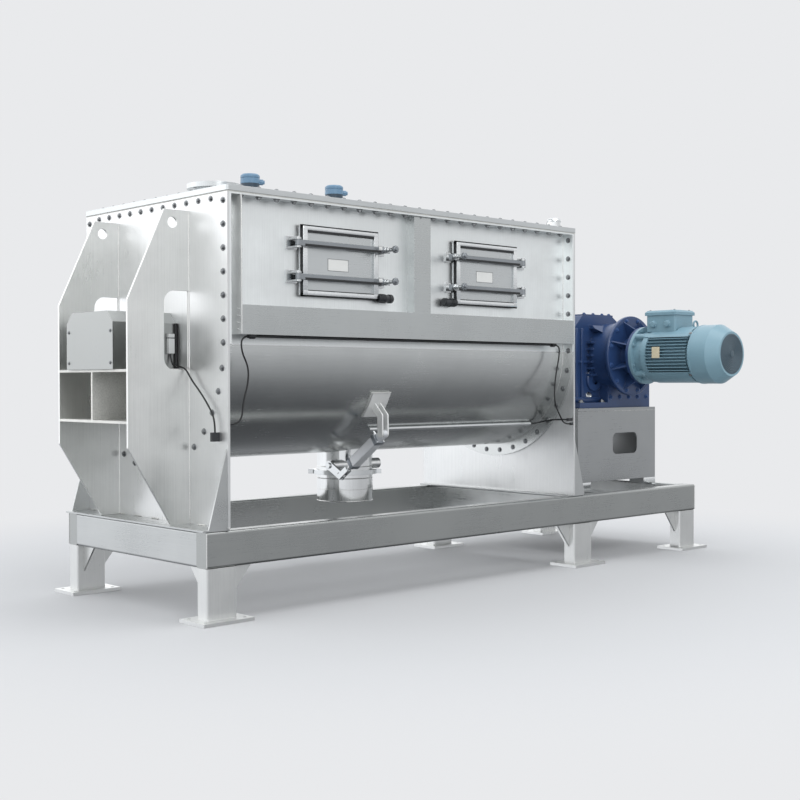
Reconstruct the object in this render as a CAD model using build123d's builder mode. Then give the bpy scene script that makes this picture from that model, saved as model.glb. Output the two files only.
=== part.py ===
from build123d import *
import os
from math import atan2, cos, hypot, pi, radians, sin, sqrt

os.makedirs("parts", exist_ok=True)

# Ribbon blender, in millimetres. X runs along the mixer shaft towards the motor end,
# Y across the frame with the doors on its negative side, Z up. The origin is on the floor,
# at the centre of the pattern of the frame's corner anchor holes.

# Base frame of rectangular tube
frame_length = 3700
frame_width = 1210
frame_top = 400
tube_height = 160
tube_width = 80
tube_wall = 6
tube_corner = 12
vent_hole_radius = 8
middle_leg_x = 733
foot_thickness = 16
foot_length = 265
foot_width = 190
anchor_hole_radius = 9
anchor_pitch_x = 205
anchor_pitch_y = 130
leg_gusset_reach = 105
leg_gusset_height = 130
gusset_thickness = 8

# Trough, its end plates and what stiffens it
axis_height = 1220
trough_radius = 534
shell_thickness = 6
trough_left = -1728
trough_length = 2368
plate_top = 1887
plate_width = 1220
plate_thickness = 12
base_strip_thickness = 8
base_strip_width = 140
rim_thickness = 10
top_rim_thickness = 8
shaft_opening_radius = 62
plate_gusset_reach = 105
plate_gusset_height = 350
beam_height = 132
beam_depth = 78
beam_bottom = 1263
beam_left_gap = 60
stiffener_width = 114
stiffener_depth = 55
stiffener_x = -537

# Lid and what stands on it
gasket_thickness = 5
lid_sheet = 7
lid_frame_depth = 18
lid_frame_width = 50
lid_overhang = 5
fill_neck_x = -1383
fill_neck_radius = 95
fill_neck_wall = 4
fill_neck_height = 102
fill_flange_radius = 133
fill_flange_thickness = 24
probe_xs = (-1387, -868)
probe_y = -300
probe_stem_radius = 14
probe_stem_height = 53
probe_head_radius = 46
probe_head_height = 64
vent_x = 560
vent_y = -533
vent_radius = 41
vent_height = 60

# Inspection doors in the front wall
door_xs = (-1049, -30)
door_width = 468
door_height = 320
door_z = 1617
door_opening_width = 400
door_opening_height = 252
door_frame_wall = 5
door_frame_depth = 10
door_gasket_thickness = 4
door_depth = 16
door_rim_width = 26
door_sheet = 5
bar_pitch = 156
bar_height = 28
bar_depth = 20
hinge_offset = 272
clamp_offset = 268
ear_thickness = 8
ear_gap = 1
hinge_pin_radius = 6
running_gap = 0.05
hinge_ear_radius = 15
lug_plate_width = 66
lug_plate_shift = 13
clamp_screw_radius = 8
clamp_boss_radius = 17
clamp_screw_length = 105
clamp_nut_radius = 15
clamp_nut_height = 17
clamp_washer = 4
clamp_knob_gap = 58
clamp_screw_release = 1
seat_gap = 0.3
switch_radius = 22
switch_length = 90
switch_z = 1461

# Left end: brackets, shelves, bearing and cover
bracket_thickness = 12
bracket_y = 306
bracket_top = 1828
bracket_reach = 320
bracket_slant_top = 130
bracket_slant_bottom = 1415
bracket_vertical_bottom = 762
bracket_base_reach = 100
window_reach = 134
window_bottom = 1107
window_top = 1465
window_radius = 55
lift_hole_radius = 25
lift_hole_reach = 88
lift_hole_z = 1770
shelf_thickness = 12
lower_shelf_top = 880
cover_reach = 332
cover_width = 412
cover_height = 262
cover_sheet = 4
cover_chamfer = 50
bearing_width = 100
bearing_radius = 95
bearing_base_width = 320
bearing_base_height = 36
bearing_height = 110
bearing_x = -1900
journal_overhang = 10

# Rotor
shaft_radius = 70
journal_radius = 50
shaft_end_clearance = 13
seal_gap = 0.3
seal_radius = 82
seal_flange_radius = 106
seal_length = 60
seal_flange_thickness = 14
outer_ribbon_radius = 522
outer_ribbon_width = 60
inner_ribbon_radius = 270
inner_ribbon_width = 70
ribbon_thickness = 10
arm_radius = 21
arm_count = 5
arm_notch_depth = 12
ribbon_turns = 1
first_arm_angle = 90
end_clearance = 40
centre_gap = 60

# Drive end
lantern_radius = 150
lantern_wall = 14
lantern_length = 120
hub_radius = 112
hub_length = 84
coupling_gap = 14
coupling_start = 800
output_shaft_radius = 60
guard_radius = 230
guard_sheet = 4
gear_left = 1080
gear_length = 712
gear_foot_height = 34
gear_depth = 460
gear_foot_depth = 600
gear_base = 888
gear_height = 572
gear_block_left = 1361
gear_block_height = 512
gear_block_chamfer = 45
gear_cover_length = 290
gear_cover_width = 340
gear_cover_thickness = 14
gear_rib_count = 6
gear_rib_pitch = 40
gear_rib_thickness = 14
gear_rib_depth = 40
gear_rib_bottom = 205
gear_rib_reach = 130
input_x = 1454
input_boss_radius = 205
input_core_radius = 118
lantern_rib_count = 8
input_z = 1210
input_ring_radius = 236
input_ring_face = -415
input_ring_thickness = 22
motor_flange_radius = 175
motor_flange_face = -511
motor_flange_thickness = 20
motor_frame_radius = 142
motor_fin_radius = 168
motor_frame_end = -930
fan_cowl_radius = 173
fan_cowl_end = -1121
fan_cowl_taper = 72
fan_cowl_sheet = 3
grille_radius = 116
motor_fin_count = 5
motor_fin_pitch = 19
motor_side_half = 104
motor_shield_length = 97
motor_shield_ring = 36
motor_shield_boss = 30
motor_fin_thickness = 5
motor_lug_thickness = 16
terminal_box_width = 200
terminal_box_length = 220
terminal_box_y = -692
terminal_box_bottom = 1350
terminal_box_top = 1478
terminal_lid_thickness = 30
terminal_lid_chamfer = 12
cowl_lip = 14
terminal_wall = 6
grille_slot_count = 12
motor_shaft_radius = 24
fan_radius = 140
fan_hub_radius = 40
fan_length = 50
fan_end_gap = 36
fan_blade_count = 8
fan_blade_thickness = 5
pedestal_left = 1030
pedestal_length = 787
pedestal_half_depth = 327
pedestal_wall = 12
pedestal_top_plate = 20
pedestal_foot_height = 35
pedestal_foot_length = 124
pedestal_rail_shift = 35
pedestal_foot_width = 110
pedestal_window_width = 249
pedestal_window_height = 132
pedestal_window_x = 1497
pedestal_window_z = 664
pedestal_window_radius = 36

# Discharge valve
neck_radius = 150
neck_wall = 5
neck_joint_z = 573
skirt_bottom = 415
ferrule_radius = 162
ferrule_thickness = 8
clamp_thickness = 10
valve_shaft_y = -95
valve_shaft_z = 615
valve_shaft_radius = 15
valve_boss_radius = 28
flap_radius = 138
flap_thickness = 12
flap_offset = 40
flap_open_angle = 65
crank_radius = 105
crank_rest_angle = 208
crank_thickness = 12
crank_pin_radius = 8
crank_slot_half_width = 10.4
crank_slot_inner = 14.6
crank_slot_outer = 5
actuator_offset = 186
actuator_pivot_y = -510
actuator_pivot_z = 793
barrel_size = 52
barrel_start = 40
barrel_end = 288
barrel_bore_start = 130
barrel_tongue = 26
actuator_pin_radius = 10
actuator_eye_radius = 20
rod_radius = 10
rod_start = 150
fork_start = 326
fork_block = 24
fork_ear = 8
fork_gap = 14
fork_height = 28
fork_tip = 14
bracket_ear = 8
bracket_band = 36
bracket_gap = 28
bracket_elbow = (-509, 881)
bracket_foot = (-458, 934)
bracket_pad_length = 124
bracket_pad_bottom = 876
bracket_pad_top = 998
bracket_pad_thickness = 8
valve_front = 178
valve_rear = 150
valve_shaft_overhang = 22
valve_lug_pitch = 120
valve_lug_thickness = 10
valve_lug_radius = 24
crank_hub_radius = 26
crank_end_radius = 22
clamp_ring_radius = 172
clamp_ring_lip = 4
clamp_ring_throat = 154
clamp_lug_angle = 137
clamp_lug_length = 34

# Pipe, conduit and cables
pipe_radius = 10.7
pipe_left = -700
pipe_right = 540
pipe_y = -368.7
pipe_z = 810.5
conduit_radius = 6
conduit_y = -600
conduit_left = -1602
conduit_right = 470
cable_radius = 4
gland_radius = 8
gland_length = 20
left_gland_z = 868
right_gland_z = 812
cable_box_x = -1776.5
cable_box_z = 1228
cable_box_width = 35
cable_box_height = 92
cable_box_depth = 16
cable_elbow_y = -540
cable_elbow_top = 830
hose_block_x = 614
hose_block_y = -585

# Worked out from the sizes above
shell_radius = trough_radius + shell_thickness
trough_right = trough_left + trough_length
trough_mid = trough_left + trough_length / 2
plate_foot = frame_top + base_strip_thickness
left_face = trough_left - plate_thickness
right_face = trough_right + plate_thickness
rim_radius = plate_width / 2
lid_bottom = plate_top + gasket_thickness
lid_sheet_bottom = lid_bottom + lid_frame_depth
lid_top = lid_sheet_bottom + lid_sheet
corner_leg_x = (frame_length - tube_height) / 2
leg_y = (frame_width - tube_width) / 2
rail_middle_z = frame_top - tube_height / 2


def save(piece, label):
    """Name a finished piece and write it."""
    piece.label = label
    export_step(piece, f"parts/{label}.step")


def u_section(radius, top, mode=Mode.ADD):
    """U with a half-round bottom about the mixer axis and straight walls up to a height."""
    with Locations((0, axis_height)):
        Circle(radius, mode=mode)
        Rectangle(2 * radius, top - axis_height, align=(Align.CENTER, Align.MIN), mode=mode)


def tube_section(width, height):
    """Rectangular tube with rounded corners."""
    RectangleRounded(width, height, tube_corner)
    RectangleRounded(width - 2 * tube_wall, height - 2 * tube_wall, tube_corner - tube_wall, mode=Mode.SUBTRACT)


# Two long side rails with capped ends and a vent hole under each
with BuildPart() as side_rails:
    for side in (-1, 1):
        with BuildSketch(Plane.YZ.offset(-frame_length / 2)):
            with Locations((side * leg_y, rail_middle_z)):
                tube_section(tube_width, tube_height)
        extrude(amount=frame_length)
        for end in (-1, 1):
            with Locations((end * (frame_length - tube_wall) / 2, side * leg_y, rail_middle_z)):
                Box(tube_wall, tube_width - tube_wall, tube_height - tube_wall)
        with Locations((trough_mid, side * leg_y, frame_top - tube_height + tube_wall / 2)):
            Cylinder(vent_hole_radius, 2 * tube_wall, mode=Mode.SUBTRACT)
save(side_rails.part, "side_rails")

# Cross rails between the side rails: both ends, under the right end plate, under the pedestal
cross_rail_length = frame_width - 2 * tube_width
right_plate_rail_x = trough_right + tube_width / 2
pedestal_rail_x = pedestal_left + pedestal_rail_shift
end_rail_x = (frame_length - tube_width) / 2
with BuildPart() as cross_rails:
    with BuildSketch(Plane.XZ.offset(-cross_rail_length / 2)):
        for x in (-end_rail_x, right_plate_rail_x, pedestal_rail_x, end_rail_x):
            with Locations((x, rail_middle_z)):
                tube_section(tube_width, tube_height)
    extrude(amount=cross_rail_length)
save(cross_rails.part, "cross_rails")

# Six legs, each a tube welded to its foot plate with four anchor holes
leg_top = frame_top - tube_height
with BuildPart() as legs:
    leg_places = [(x, y) for x in (-corner_leg_x, middle_leg_x, corner_leg_x) for y in (-leg_y, leg_y)]
    with BuildSketch(Plane.XY.offset(foot_thickness)):
        with Locations(*leg_places):
            tube_section(tube_height, tube_width)
    extrude(amount=leg_top - foot_thickness)
    with BuildSketch():
        with Locations(*leg_places):
            Rectangle(foot_length, foot_width)
            with GridLocations(anchor_pitch_x, anchor_pitch_y, 2, 2):
                Circle(anchor_hole_radius, mode=Mode.SUBTRACT)
    extrude(amount=foot_thickness)
save(legs.part, "legs")


def gusset(corner_plane, reach, height, thickness):
    """Triangle with its right angle at the plane's origin, spread both sides of the plane."""
    with BuildSketch(corner_plane) as triangle:
        with BuildLine():
            Polyline((0, 0), (reach, 0), (0, height), close=True)
        make_face()
    extrude(triangle.sketch, amount=thickness / 2, both=True)


# Triangular gussets between the legs and the rails
with BuildPart() as leg_gussets:
    for x in (-corner_leg_x, middle_leg_x, corner_leg_x):
        for side in (-1, 1):
            for way in (-1, 1):
                if abs(x + way * tube_height) < frame_length / 2:
                    corner = (x + way * tube_height / 2, side * leg_y, leg_top)
                    face = Plane(origin=corner, x_dir=(way, 0, 0), z_dir=(0, way, 0))
                    gusset(face, leg_gusset_reach, leg_gusset_height, gusset_thickness)
    for x in (-end_rail_x, right_plate_rail_x, end_rail_x):
        for side in (-1, 1):
            corner = (x, side * (leg_y - tube_width / 2), leg_top)
            face = Plane(origin=corner, x_dir=(0, -side, 0), z_dir=(side, 0, 0))
            gusset(face, leg_gusset_reach, leg_gusset_height, gusset_thickness)
save(leg_gussets.part, "leg_gussets")

# Trough shell: U-shaped sheet with a bolting rim round each end and along both top edges
with BuildPart() as trough_shell:
    with BuildSketch(Plane.YZ.offset(trough_left)):
        u_section(shell_radius, plate_top)
        u_section(trough_radius, plate_top, Mode.SUBTRACT)
    extrude(amount=trough_length)
    for start in (trough_left, trough_right - rim_thickness):
        with BuildSketch(Plane.YZ.offset(start)):
            u_section(rim_radius, plate_top)
            u_section(trough_radius, plate_top, Mode.SUBTRACT)
        extrude(amount=rim_thickness)
    for side in (-1, 1):
        with Locations((trough_mid, side * (trough_radius + rim_radius) / 2, plate_top - top_rim_thickness / 2)):
            Box(trough_length, rim_radius - trough_radius, top_rim_thickness)
    for x in door_xs:
        with Locations((x, -shell_radius, door_z)):
            Box(door_opening_width, 4 * shell_thickness, door_opening_height, mode=Mode.SUBTRACT)
    with Locations((trough_mid, 0, axis_height - shell_radius)):
        Cylinder(neck_radius - neck_wall, 12 * shell_thickness, mode=Mode.SUBTRACT)
save(trough_shell.part, "trough_shell")


def end_plate(start, label):
    """Upright plate that closes one end of the trough and stands on the frame."""
    with BuildPart() as plate:
        with BuildSketch(Plane.YZ.offset(start)):
            with Locations((0, (plate_top + plate_foot) / 2)):
                Rectangle(plate_width, plate_top - plate_foot)
            with Locations((0, axis_height)):
                Circle(shaft_opening_radius, mode=Mode.SUBTRACT)
        extrude(amount=plate_thickness)
    save(plate.part, label)


end_plate(left_face, "left_end_plate")
end_plate(trough_right, "right_end_plate")

# Strips between the end plates and the frame, and the gussets that brace each plate's edges
with BuildPart() as plate_feet:
    for start in (left_face + plate_thickness - base_strip_width, trough_right - tube_width / 2):
        with Locations((start + base_strip_width / 2, 0, frame_top + base_strip_thickness / 2)):
            Box(base_strip_width, plate_width - 2 * gusset_thickness, base_strip_thickness)
    for side in (-1, 1):
        y = side * (rim_radius - 1.5 * gusset_thickness)
        for x, way in ((left_face, -1), (right_face, 1)):
            face = Plane(origin=(x, y, plate_foot), x_dir=(way, 0, 0), z_dir=(0, -way, 0))
            gusset(face, plate_gusset_reach - gusset_thickness, plate_gusset_height, gusset_thickness)
save(plate_feet.part, "plate_feet")

# Box beam along each side of the trough, closed at its free end, and a folded channel
# up the middle of each side wall from the beam to the top rim
beam_left = trough_left + beam_left_gap
beam_right = trough_right - rim_thickness
beam_y = shell_radius + beam_depth / 2
beam_z = beam_bottom + beam_height / 2
beam_top = beam_bottom + beam_height
rim_underside = plate_top - top_rim_thickness
with BuildPart() as side_beams:
    for side in (-1, 1):
        with BuildSketch(Plane.YZ.offset(beam_left)):
            with Locations((side * beam_y, beam_z)):
                Rectangle(beam_depth, beam_height)
                Rectangle(beam_depth - 2 * tube_wall, beam_height - 2 * tube_wall, mode=Mode.SUBTRACT)
        extrude(amount=beam_right - beam_left)
        with Locations((beam_left + tube_wall / 2, side * beam_y, beam_z)):
            Box(tube_wall, beam_depth - tube_wall, beam_height - tube_wall)
        with BuildSketch(Plane.XY.offset(beam_top)):
            with Locations((stiffener_x, side * (shell_radius + stiffener_depth / 2))):
                Rectangle(stiffener_width, stiffener_depth)
            with Locations((stiffener_x, side * (shell_radius + (stiffener_depth - shell_thickness) / 2))):
                Rectangle(stiffener_width - 2 * shell_thickness, stiffener_depth - shell_thickness, mode=Mode.SUBTRACT)
        extrude(amount=rim_underside - beam_top)
save(side_beams.part, "side_beams")

# Lid gasket: a flat frame on the trough's top rims and end plates
lid_length = right_face - left_face + 2 * lid_overhang
lid_width = plate_width + 2 * lid_overhang
lid_middle_x = (left_face + right_face) / 2
with BuildPart() as lid_gasket:
    with BuildSketch(Plane.XY.offset(plate_top)):
        with Locations((lid_middle_x, 0)):
            Rectangle(right_face - left_face, plate_width)
            Rectangle(trough_length, 2 * trough_radius, mode=Mode.SUBTRACT)
    extrude(amount=gasket_thickness)
save(lid_gasket.part, "lid_gasket")

# Lid: a sheet on a frame of flat bar, with a hole under the fill neck
with BuildPart() as lid:
    with BuildSketch(Plane.XY.offset(lid_bottom)):
        with Locations((lid_middle_x, 0)):
            Rectangle(lid_length, lid_width)
            Rectangle(lid_length - 2 * lid_frame_width, lid_width - 2 * lid_frame_width, mode=Mode.SUBTRACT)
    extrude(amount=lid_frame_depth)
    with BuildSketch(Plane.XY.offset(lid_sheet_bottom)):
        with Locations((lid_middle_x, 0)):
            Rectangle(lid_length, lid_width)
        with Locations((fill_neck_x, 0)):
            Circle(fill_neck_radius - fill_neck_wall, mode=Mode.SUBTRACT)
    extrude(amount=lid_sheet)
    fillet(lid.edges().filter_by(Axis.Z).filter_by(GeomType.LINE), 12)
save(lid.part, "lid")

# Fill neck: welded pipe with a flange, its bolts on a circle between pipe and flange edge
fill_bolt_circle = (fill_neck_radius + fill_flange_radius) / 2
with BuildPart() as fill_neck:
    with BuildSketch(Plane.XY.offset(lid_top)):
        with Locations((fill_neck_x, 0)):
            Circle(fill_neck_radius)
            Circle(fill_neck_radius - fill_neck_wall, mode=Mode.SUBTRACT)
    extrude(amount=fill_neck_height)
    with BuildSketch(Plane.XY.offset(lid_top + fill_neck_height - fill_flange_thickness)):
        with Locations((fill_neck_x, 0)):
            Circle(fill_flange_radius)
            Circle(fill_neck_radius - fill_neck_wall, mode=Mode.SUBTRACT)
            with PolarLocations(fill_bolt_circle, 8):
                Circle(anchor_hole_radius, mode=Mode.SUBTRACT)
    extrude(amount=fill_flange_thickness)
save(fill_neck.part, "fill_neck")

# On the lid: two level probes, each a stem under a cast head with a screwed cap, and a breather dome
with BuildPart() as lid_fittings:
    with Locations((vent_x, vent_y, lid_top)):
        Cylinder(vent_radius, vent_height, align=(Align.CENTER, Align.CENTER, Align.MIN))
    fillet(lid_fittings.edges().sort_by(Axis.Z)[-1], 0.6 * vent_radius)
    for x in probe_xs:
        stem = x + probe_stem_radius
        head = x + probe_head_radius
        head_bottom = lid_top + probe_stem_height
        head_top = head_bottom + probe_head_height
        with BuildSketch(Plane.XZ.offset(-probe_y)):
            with BuildLine():
                Polyline(
                    (x, lid_top),
                    (stem + probe_stem_radius, lid_top),
                    (stem + probe_stem_radius, lid_top + probe_stem_radius),
                    (stem, lid_top + probe_stem_radius),
                    (stem, head_bottom),
                    (head - probe_stem_radius, head_bottom),
                    (head, head_bottom + probe_stem_radius),
                    (head, head_top - 2 * probe_stem_radius),
                    (head - 4, head_top - 2 * probe_stem_radius),
                    (head - 4, head_top - 8),
                    (head - 12, head_top),
                    (x, head_top),
                    close=True,
                )
            make_face()
        revolve(axis=Axis((x, probe_y, 0), (0, 0, 1)))
save(lid_fittings.part, "lid_fittings")

# Door frames: a welded neck round each opening in the front wall
door_frame_face = -shell_radius - door_frame_depth
with BuildPart() as door_frames:
    with BuildSketch(Plane.XZ.offset(shell_radius)):
        for x in door_xs:
            with Locations((x, door_z)):
                Rectangle(door_width, door_height)
                Rectangle(door_opening_width, door_opening_height, mode=Mode.SUBTRACT)
    extrude(amount=door_frame_wall)
    with BuildSketch(Plane.XZ.offset(shell_radius + door_frame_wall)):
        for x in door_xs:
            with Locations((x, door_z)):
                Rectangle(door_width - 2 * ear_thickness, door_height - 2 * ear_thickness)
                Rectangle(door_opening_width, door_opening_height, mode=Mode.SUBTRACT)
    extrude(amount=door_frame_depth - door_frame_wall)
save(door_frames.part, "door_frames")

# Flat rubber gaskets glued to the frames
with BuildPart() as door_gaskets:
    with BuildSketch(Plane.XZ.offset(-door_frame_face)):
        for x in door_xs:
            with Locations((x, door_z)):
                Rectangle(door_width - 4 * ear_thickness, door_height - 4 * ear_thickness)
                Rectangle(door_opening_width, door_opening_height, mode=Mode.SUBTRACT)
    extrude(amount=door_gasket_thickness)
save(door_gaskets.part, "door_gaskets")

door_back = door_frame_face - door_gasket_thickness
door_front = door_back - door_depth
bar_middle_y = door_front - bar_depth / 2
bar_zs = (door_z - bar_pitch / 2, door_z + bar_pitch / 2)
clamp_boss_face = bar_middle_y + bar_depth / 2 + 4
# Hinges are on the outer side of each door, towards the nearer end of the trough
hinge_sides = (-1, 1)

for number, (x, side) in enumerate(zip(door_xs, hinge_sides), start=1):
    hinge_x = x + side * hinge_offset
    clamp_x = x - side * clamp_offset

    # Door: a shallow pressed pan with a turned rim
    with BuildPart() as door_panel:
        with BuildSketch(Plane.XZ.offset(-door_back)):
            with Locations((x, door_z)):
                Rectangle(door_width, door_height)
        extrude(amount=door_depth)
        with BuildSketch(Plane.XZ.offset(-door_front)):
            with Locations((x, door_z)):
                Rectangle(door_width - 2 * door_rim_width, door_height - 2 * door_rim_width)
        extrude(amount=-(door_depth - door_sheet), mode=Mode.SUBTRACT)
    save(door_panel.part, f"door_{number}_panel")

    # Two bars across the door: an eye on the hinge pin, a fork round the clamp screw, a pad on the door
    with BuildPart() as door_bars:
        for z in bar_zs:
            with BuildSketch(Plane.XY.offset(z - bar_height / 2)):
                with Locations(((hinge_x + clamp_x) / 2, bar_middle_y)):
                    Rectangle(hinge_offset + clamp_offset, bar_depth)
                with Locations((hinge_x, bar_middle_y)):
                    Circle(hinge_ear_radius - 1)
                with Locations((clamp_x - side * 8, bar_middle_y)):
                    Rectangle(2 * clamp_nut_radius + 6, bar_depth)
                with Locations((hinge_x, bar_middle_y)):
                    Circle(hinge_pin_radius + running_gap, mode=Mode.SUBTRACT)
            extrude(amount=bar_height)
            with BuildSketch(Plane.XZ.offset(-(bar_middle_y + bar_depth / 2))):
                with Locations((clamp_x, z)):
                    Circle(clamp_screw_radius + running_gap)
            extrude(amount=bar_depth, mode=Mode.SUBTRACT)
            with BuildSketch(Plane.XZ.offset(-(door_front + door_depth - door_sheet))):
                with Locations((x, z)):
                    Rectangle(3 * bar_height, bar_height)
            extrude(amount=door_depth - door_sheet)
    save(door_bars.part, f"door_{number}_bars")

    # Clamp screws, turned out of their wall bosses so that the door can swing: a shank through the
    # fork, a nut against the bar, a hand knob
    for z, height_name in zip(bar_zs, ("lower", "upper")):
        with BuildPart() as clamp_screw:
            with BuildSketch(Plane.XZ.offset(-clamp_boss_face + clamp_screw_release)):
                with Locations((clamp_x, z)):
                    Circle(clamp_screw_radius)
            extrude(amount=clamp_screw_length)
            washer_back = bar_middle_y - bar_depth / 2 - seat_gap
            with BuildSketch(Plane.XZ.offset(-washer_back)):
                with Locations((clamp_x, z)):
                    Circle(clamp_nut_radius + 2)
            extrude(amount=clamp_washer)
            for back in (washer_back - clamp_washer, washer_back - clamp_knob_gap):
                with BuildSketch(Plane.XZ.offset(-back)):
                    with Locations((clamp_x, z)):
                        RegularPolygon(clamp_nut_radius, 6)
                extrude(amount=clamp_nut_height)
        save(clamp_screw.part, f"door_{number}_{height_name}_screw")

# Hinge lugs with their base plates, and the threaded bosses that take the clamp screws
lug_reach = hinge_ear_radius - bar_middle_y - shell_radius
with BuildPart() as door_lugs:
    for x, side in zip(door_xs, hinge_sides):
        hinge_x = x + side * hinge_offset
        clamp_x = x - side * clamp_offset
        lug_middle_x = hinge_x + side * lug_plate_shift
        for z in bar_zs:
            for way in (-1, 1):
                ear_z = z + way * (bar_height / 2 + ear_gap + ear_thickness / 2)
                with BuildSketch(Plane.XY.offset(ear_z - ear_thickness / 2)):
                    with Locations((hinge_x, bar_middle_y)):
                        Circle(hinge_ear_radius)
                    with BuildLine():
                        Polyline(
                            (hinge_x - hinge_ear_radius, bar_middle_y),
                            (hinge_x + hinge_ear_radius, bar_middle_y),
                            (hinge_x + hinge_ear_radius, -shell_radius),
                            (hinge_x - hinge_ear_radius, -shell_radius),
                            close=True,
                        )
                    make_face()
                    with Locations((hinge_x, bar_middle_y)):
                        Circle(hinge_pin_radius, mode=Mode.SUBTRACT)
                extrude(amount=ear_thickness)
            with Locations((lug_middle_x, -shell_radius - ear_thickness / 2, z)):
                Box(lug_plate_width, ear_thickness, bar_height + 4 * ear_thickness)
            with BuildSketch(Plane.XZ.offset(shell_radius)):
                with Locations((clamp_x, z)):
                    Circle(clamp_boss_radius)
                    Circle(clamp_screw_radius + 0.8, mode=Mode.SUBTRACT)
            extrude(amount=-clamp_boss_face - shell_radius)
            with BuildSketch(Plane.XZ.offset(shell_radius)):
                with Locations((clamp_x, z)):
                    RectangleRounded(3 * clamp_boss_radius, bar_height + 3 * ear_thickness, 6)
            extrude(amount=ear_thickness)
save(door_lugs.part, "door_lugs")

# Hinge pins with a head on top
pin_length = bar_height + 2 * ear_gap + 2 * ear_thickness
with BuildPart() as hinge_pins:
    for x, side in zip(door_xs, hinge_sides):
        for z in bar_zs:
            with Locations((x + side * hinge_offset, bar_middle_y, z)):
                Cylinder(hinge_pin_radius, pin_length)
            with Locations((x + side * hinge_offset, bar_middle_y, z + pin_length / 2 + 3)):
                Cylinder(hinge_pin_radius + 4, 6)
save(hinge_pins.part, "hinge_pins")

# Door switches: a ribbed barrel beside the lower clamp corner of each door, on a wall plate
with BuildPart() as door_switches:
    for x, side in zip(door_xs, hinge_sides):
        start = x - side * (door_width / 2 + 4)
        y = -shell_radius - switch_radius - ear_gap
        axis_plane = Plane(origin=(start, y, switch_z), x_dir=(0, 1, 0), z_dir=(-side, 0, 0))
        with BuildSketch(axis_plane):
            Circle(switch_radius - 3)
        extrude(amount=switch_length)
        for rib in range(4):
            with BuildSketch(axis_plane.offset(10 + 9 * rib)):
                Circle(switch_radius)
            extrude(amount=5)
        with BuildSketch(axis_plane.offset(switch_length - 22)):
            Circle(switch_radius)
        extrude(amount=18)
        with Locations((start - side * 14, (y - shell_radius) / 2, switch_z)):
            Box(12, -y - shell_radius, 22)
save(door_switches.part, "door_switches")

# Left end: two upright brackets, with a window beside the end plate and a lifting hole
with BuildPart() as bearing_brackets:
    for side in (-1, 1):
        with BuildSketch(Plane.XZ.offset(-side * bracket_y - bracket_thickness / 2)):
            with BuildLine():
                Polyline(
                    (left_face, plate_foot),
                    (left_face - bracket_base_reach, plate_foot),
                    (left_face - bracket_reach, bracket_vertical_bottom),
                    (left_face - bracket_reach, bracket_slant_bottom),
                    (left_face - bracket_slant_top, bracket_top),
                    (left_face, bracket_top),
                    close=True,
                )
            make_face()
            with Locations((left_face, (window_bottom + window_top) / 2)):
                RectangleRounded(2 * window_reach, window_top - window_bottom, window_radius, mode=Mode.SUBTRACT)
            with Locations((left_face - lift_hole_reach, lift_hole_z)):
                Circle(lift_hole_radius, mode=Mode.SUBTRACT)
        extrude(amount=bracket_thickness)
save(bearing_brackets.part, "bearing_brackets")

# Two shelves between the brackets, with an upright web between them
shelf_span = 2 * bracket_y - bracket_thickness
upper_shelf_top = axis_height - bearing_height
shelf_middle_x = left_face - bracket_reach / 2
with BuildPart() as bearing_shelves:
    for top in (upper_shelf_top, lower_shelf_top):
        with Locations((shelf_middle_x, 0, top - shelf_thickness / 2)):
            Box(bracket_reach, shelf_span, shelf_thickness)
    with Locations((shelf_middle_x, 0, (upper_shelf_top - shelf_thickness + lower_shelf_top) / 2)):
        Box(bracket_reach, shelf_thickness, upper_shelf_top - shelf_thickness - lower_shelf_top)
save(bearing_shelves.part, "bearing_shelves")


# Sheet cover over the bearing, its top corners cut off, open below and against the end plate
cover_left = left_face - cover_reach
with BuildPart() as bearing_cover:
    for inset, mode in ((0, Mode.ADD), (cover_sheet, Mode.SUBTRACT)):
        with BuildSketch(Plane.YZ.offset(cover_left + inset)) as section:
            with Locations((0, upper_shelf_top)):
                Rectangle(cover_width - 2 * inset, cover_height - inset, align=(Align.CENTER, Align.MIN))
            chamfer(section.vertices().group_by(Axis.Y)[-1], cover_chamfer)
        extrude(amount=left_face - cover_left - inset, mode=mode)
save(bearing_cover.part, "bearing_cover")

# Left bearing: a split plummer block on the upper shelf
with BuildPart() as left_bearing:
    with BuildSketch(Plane.YZ.offset(bearing_x - bearing_width / 2)):
        with Locations((0, axis_height)):
            Circle(bearing_radius)
        with Locations((0, upper_shelf_top)):
            Rectangle(2 * bearing_radius, bearing_height, align=(Align.CENTER, Align.MIN))
            Rectangle(bearing_base_width, bearing_base_height, align=(Align.CENTER, Align.MIN))
        with Locations((0, axis_height)):
            Circle(journal_radius + running_gap, mode=Mode.SUBTRACT)
    extrude(amount=bearing_width)
    fillet(left_bearing.edges().filter_by(Axis.X).group_by(Axis.Z)[1], 8)
save(left_bearing.part, "left_bearing")


# Packed seals on the outer faces of both end plates
with BuildPart() as shaft_seals:
    for face, way in ((left_face, -1), (right_face, 1)):
        seal_plane = Plane(origin=(face, 0, axis_height), x_dir=(0, 1, 0), z_dir=(way, 0, 0))
        with BuildSketch(seal_plane):
            Circle(seal_flange_radius)
            Circle(journal_radius + seal_gap, mode=Mode.SUBTRACT)
        extrude(amount=seal_flange_thickness)
        with BuildSketch(seal_plane.offset(seal_flange_thickness)):
            Circle(seal_radius)
            Circle(journal_radius + seal_gap, mode=Mode.SUBTRACT)
        extrude(amount=seal_length - seal_flange_thickness)
save(shaft_seals.part, "shaft_seals")

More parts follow.
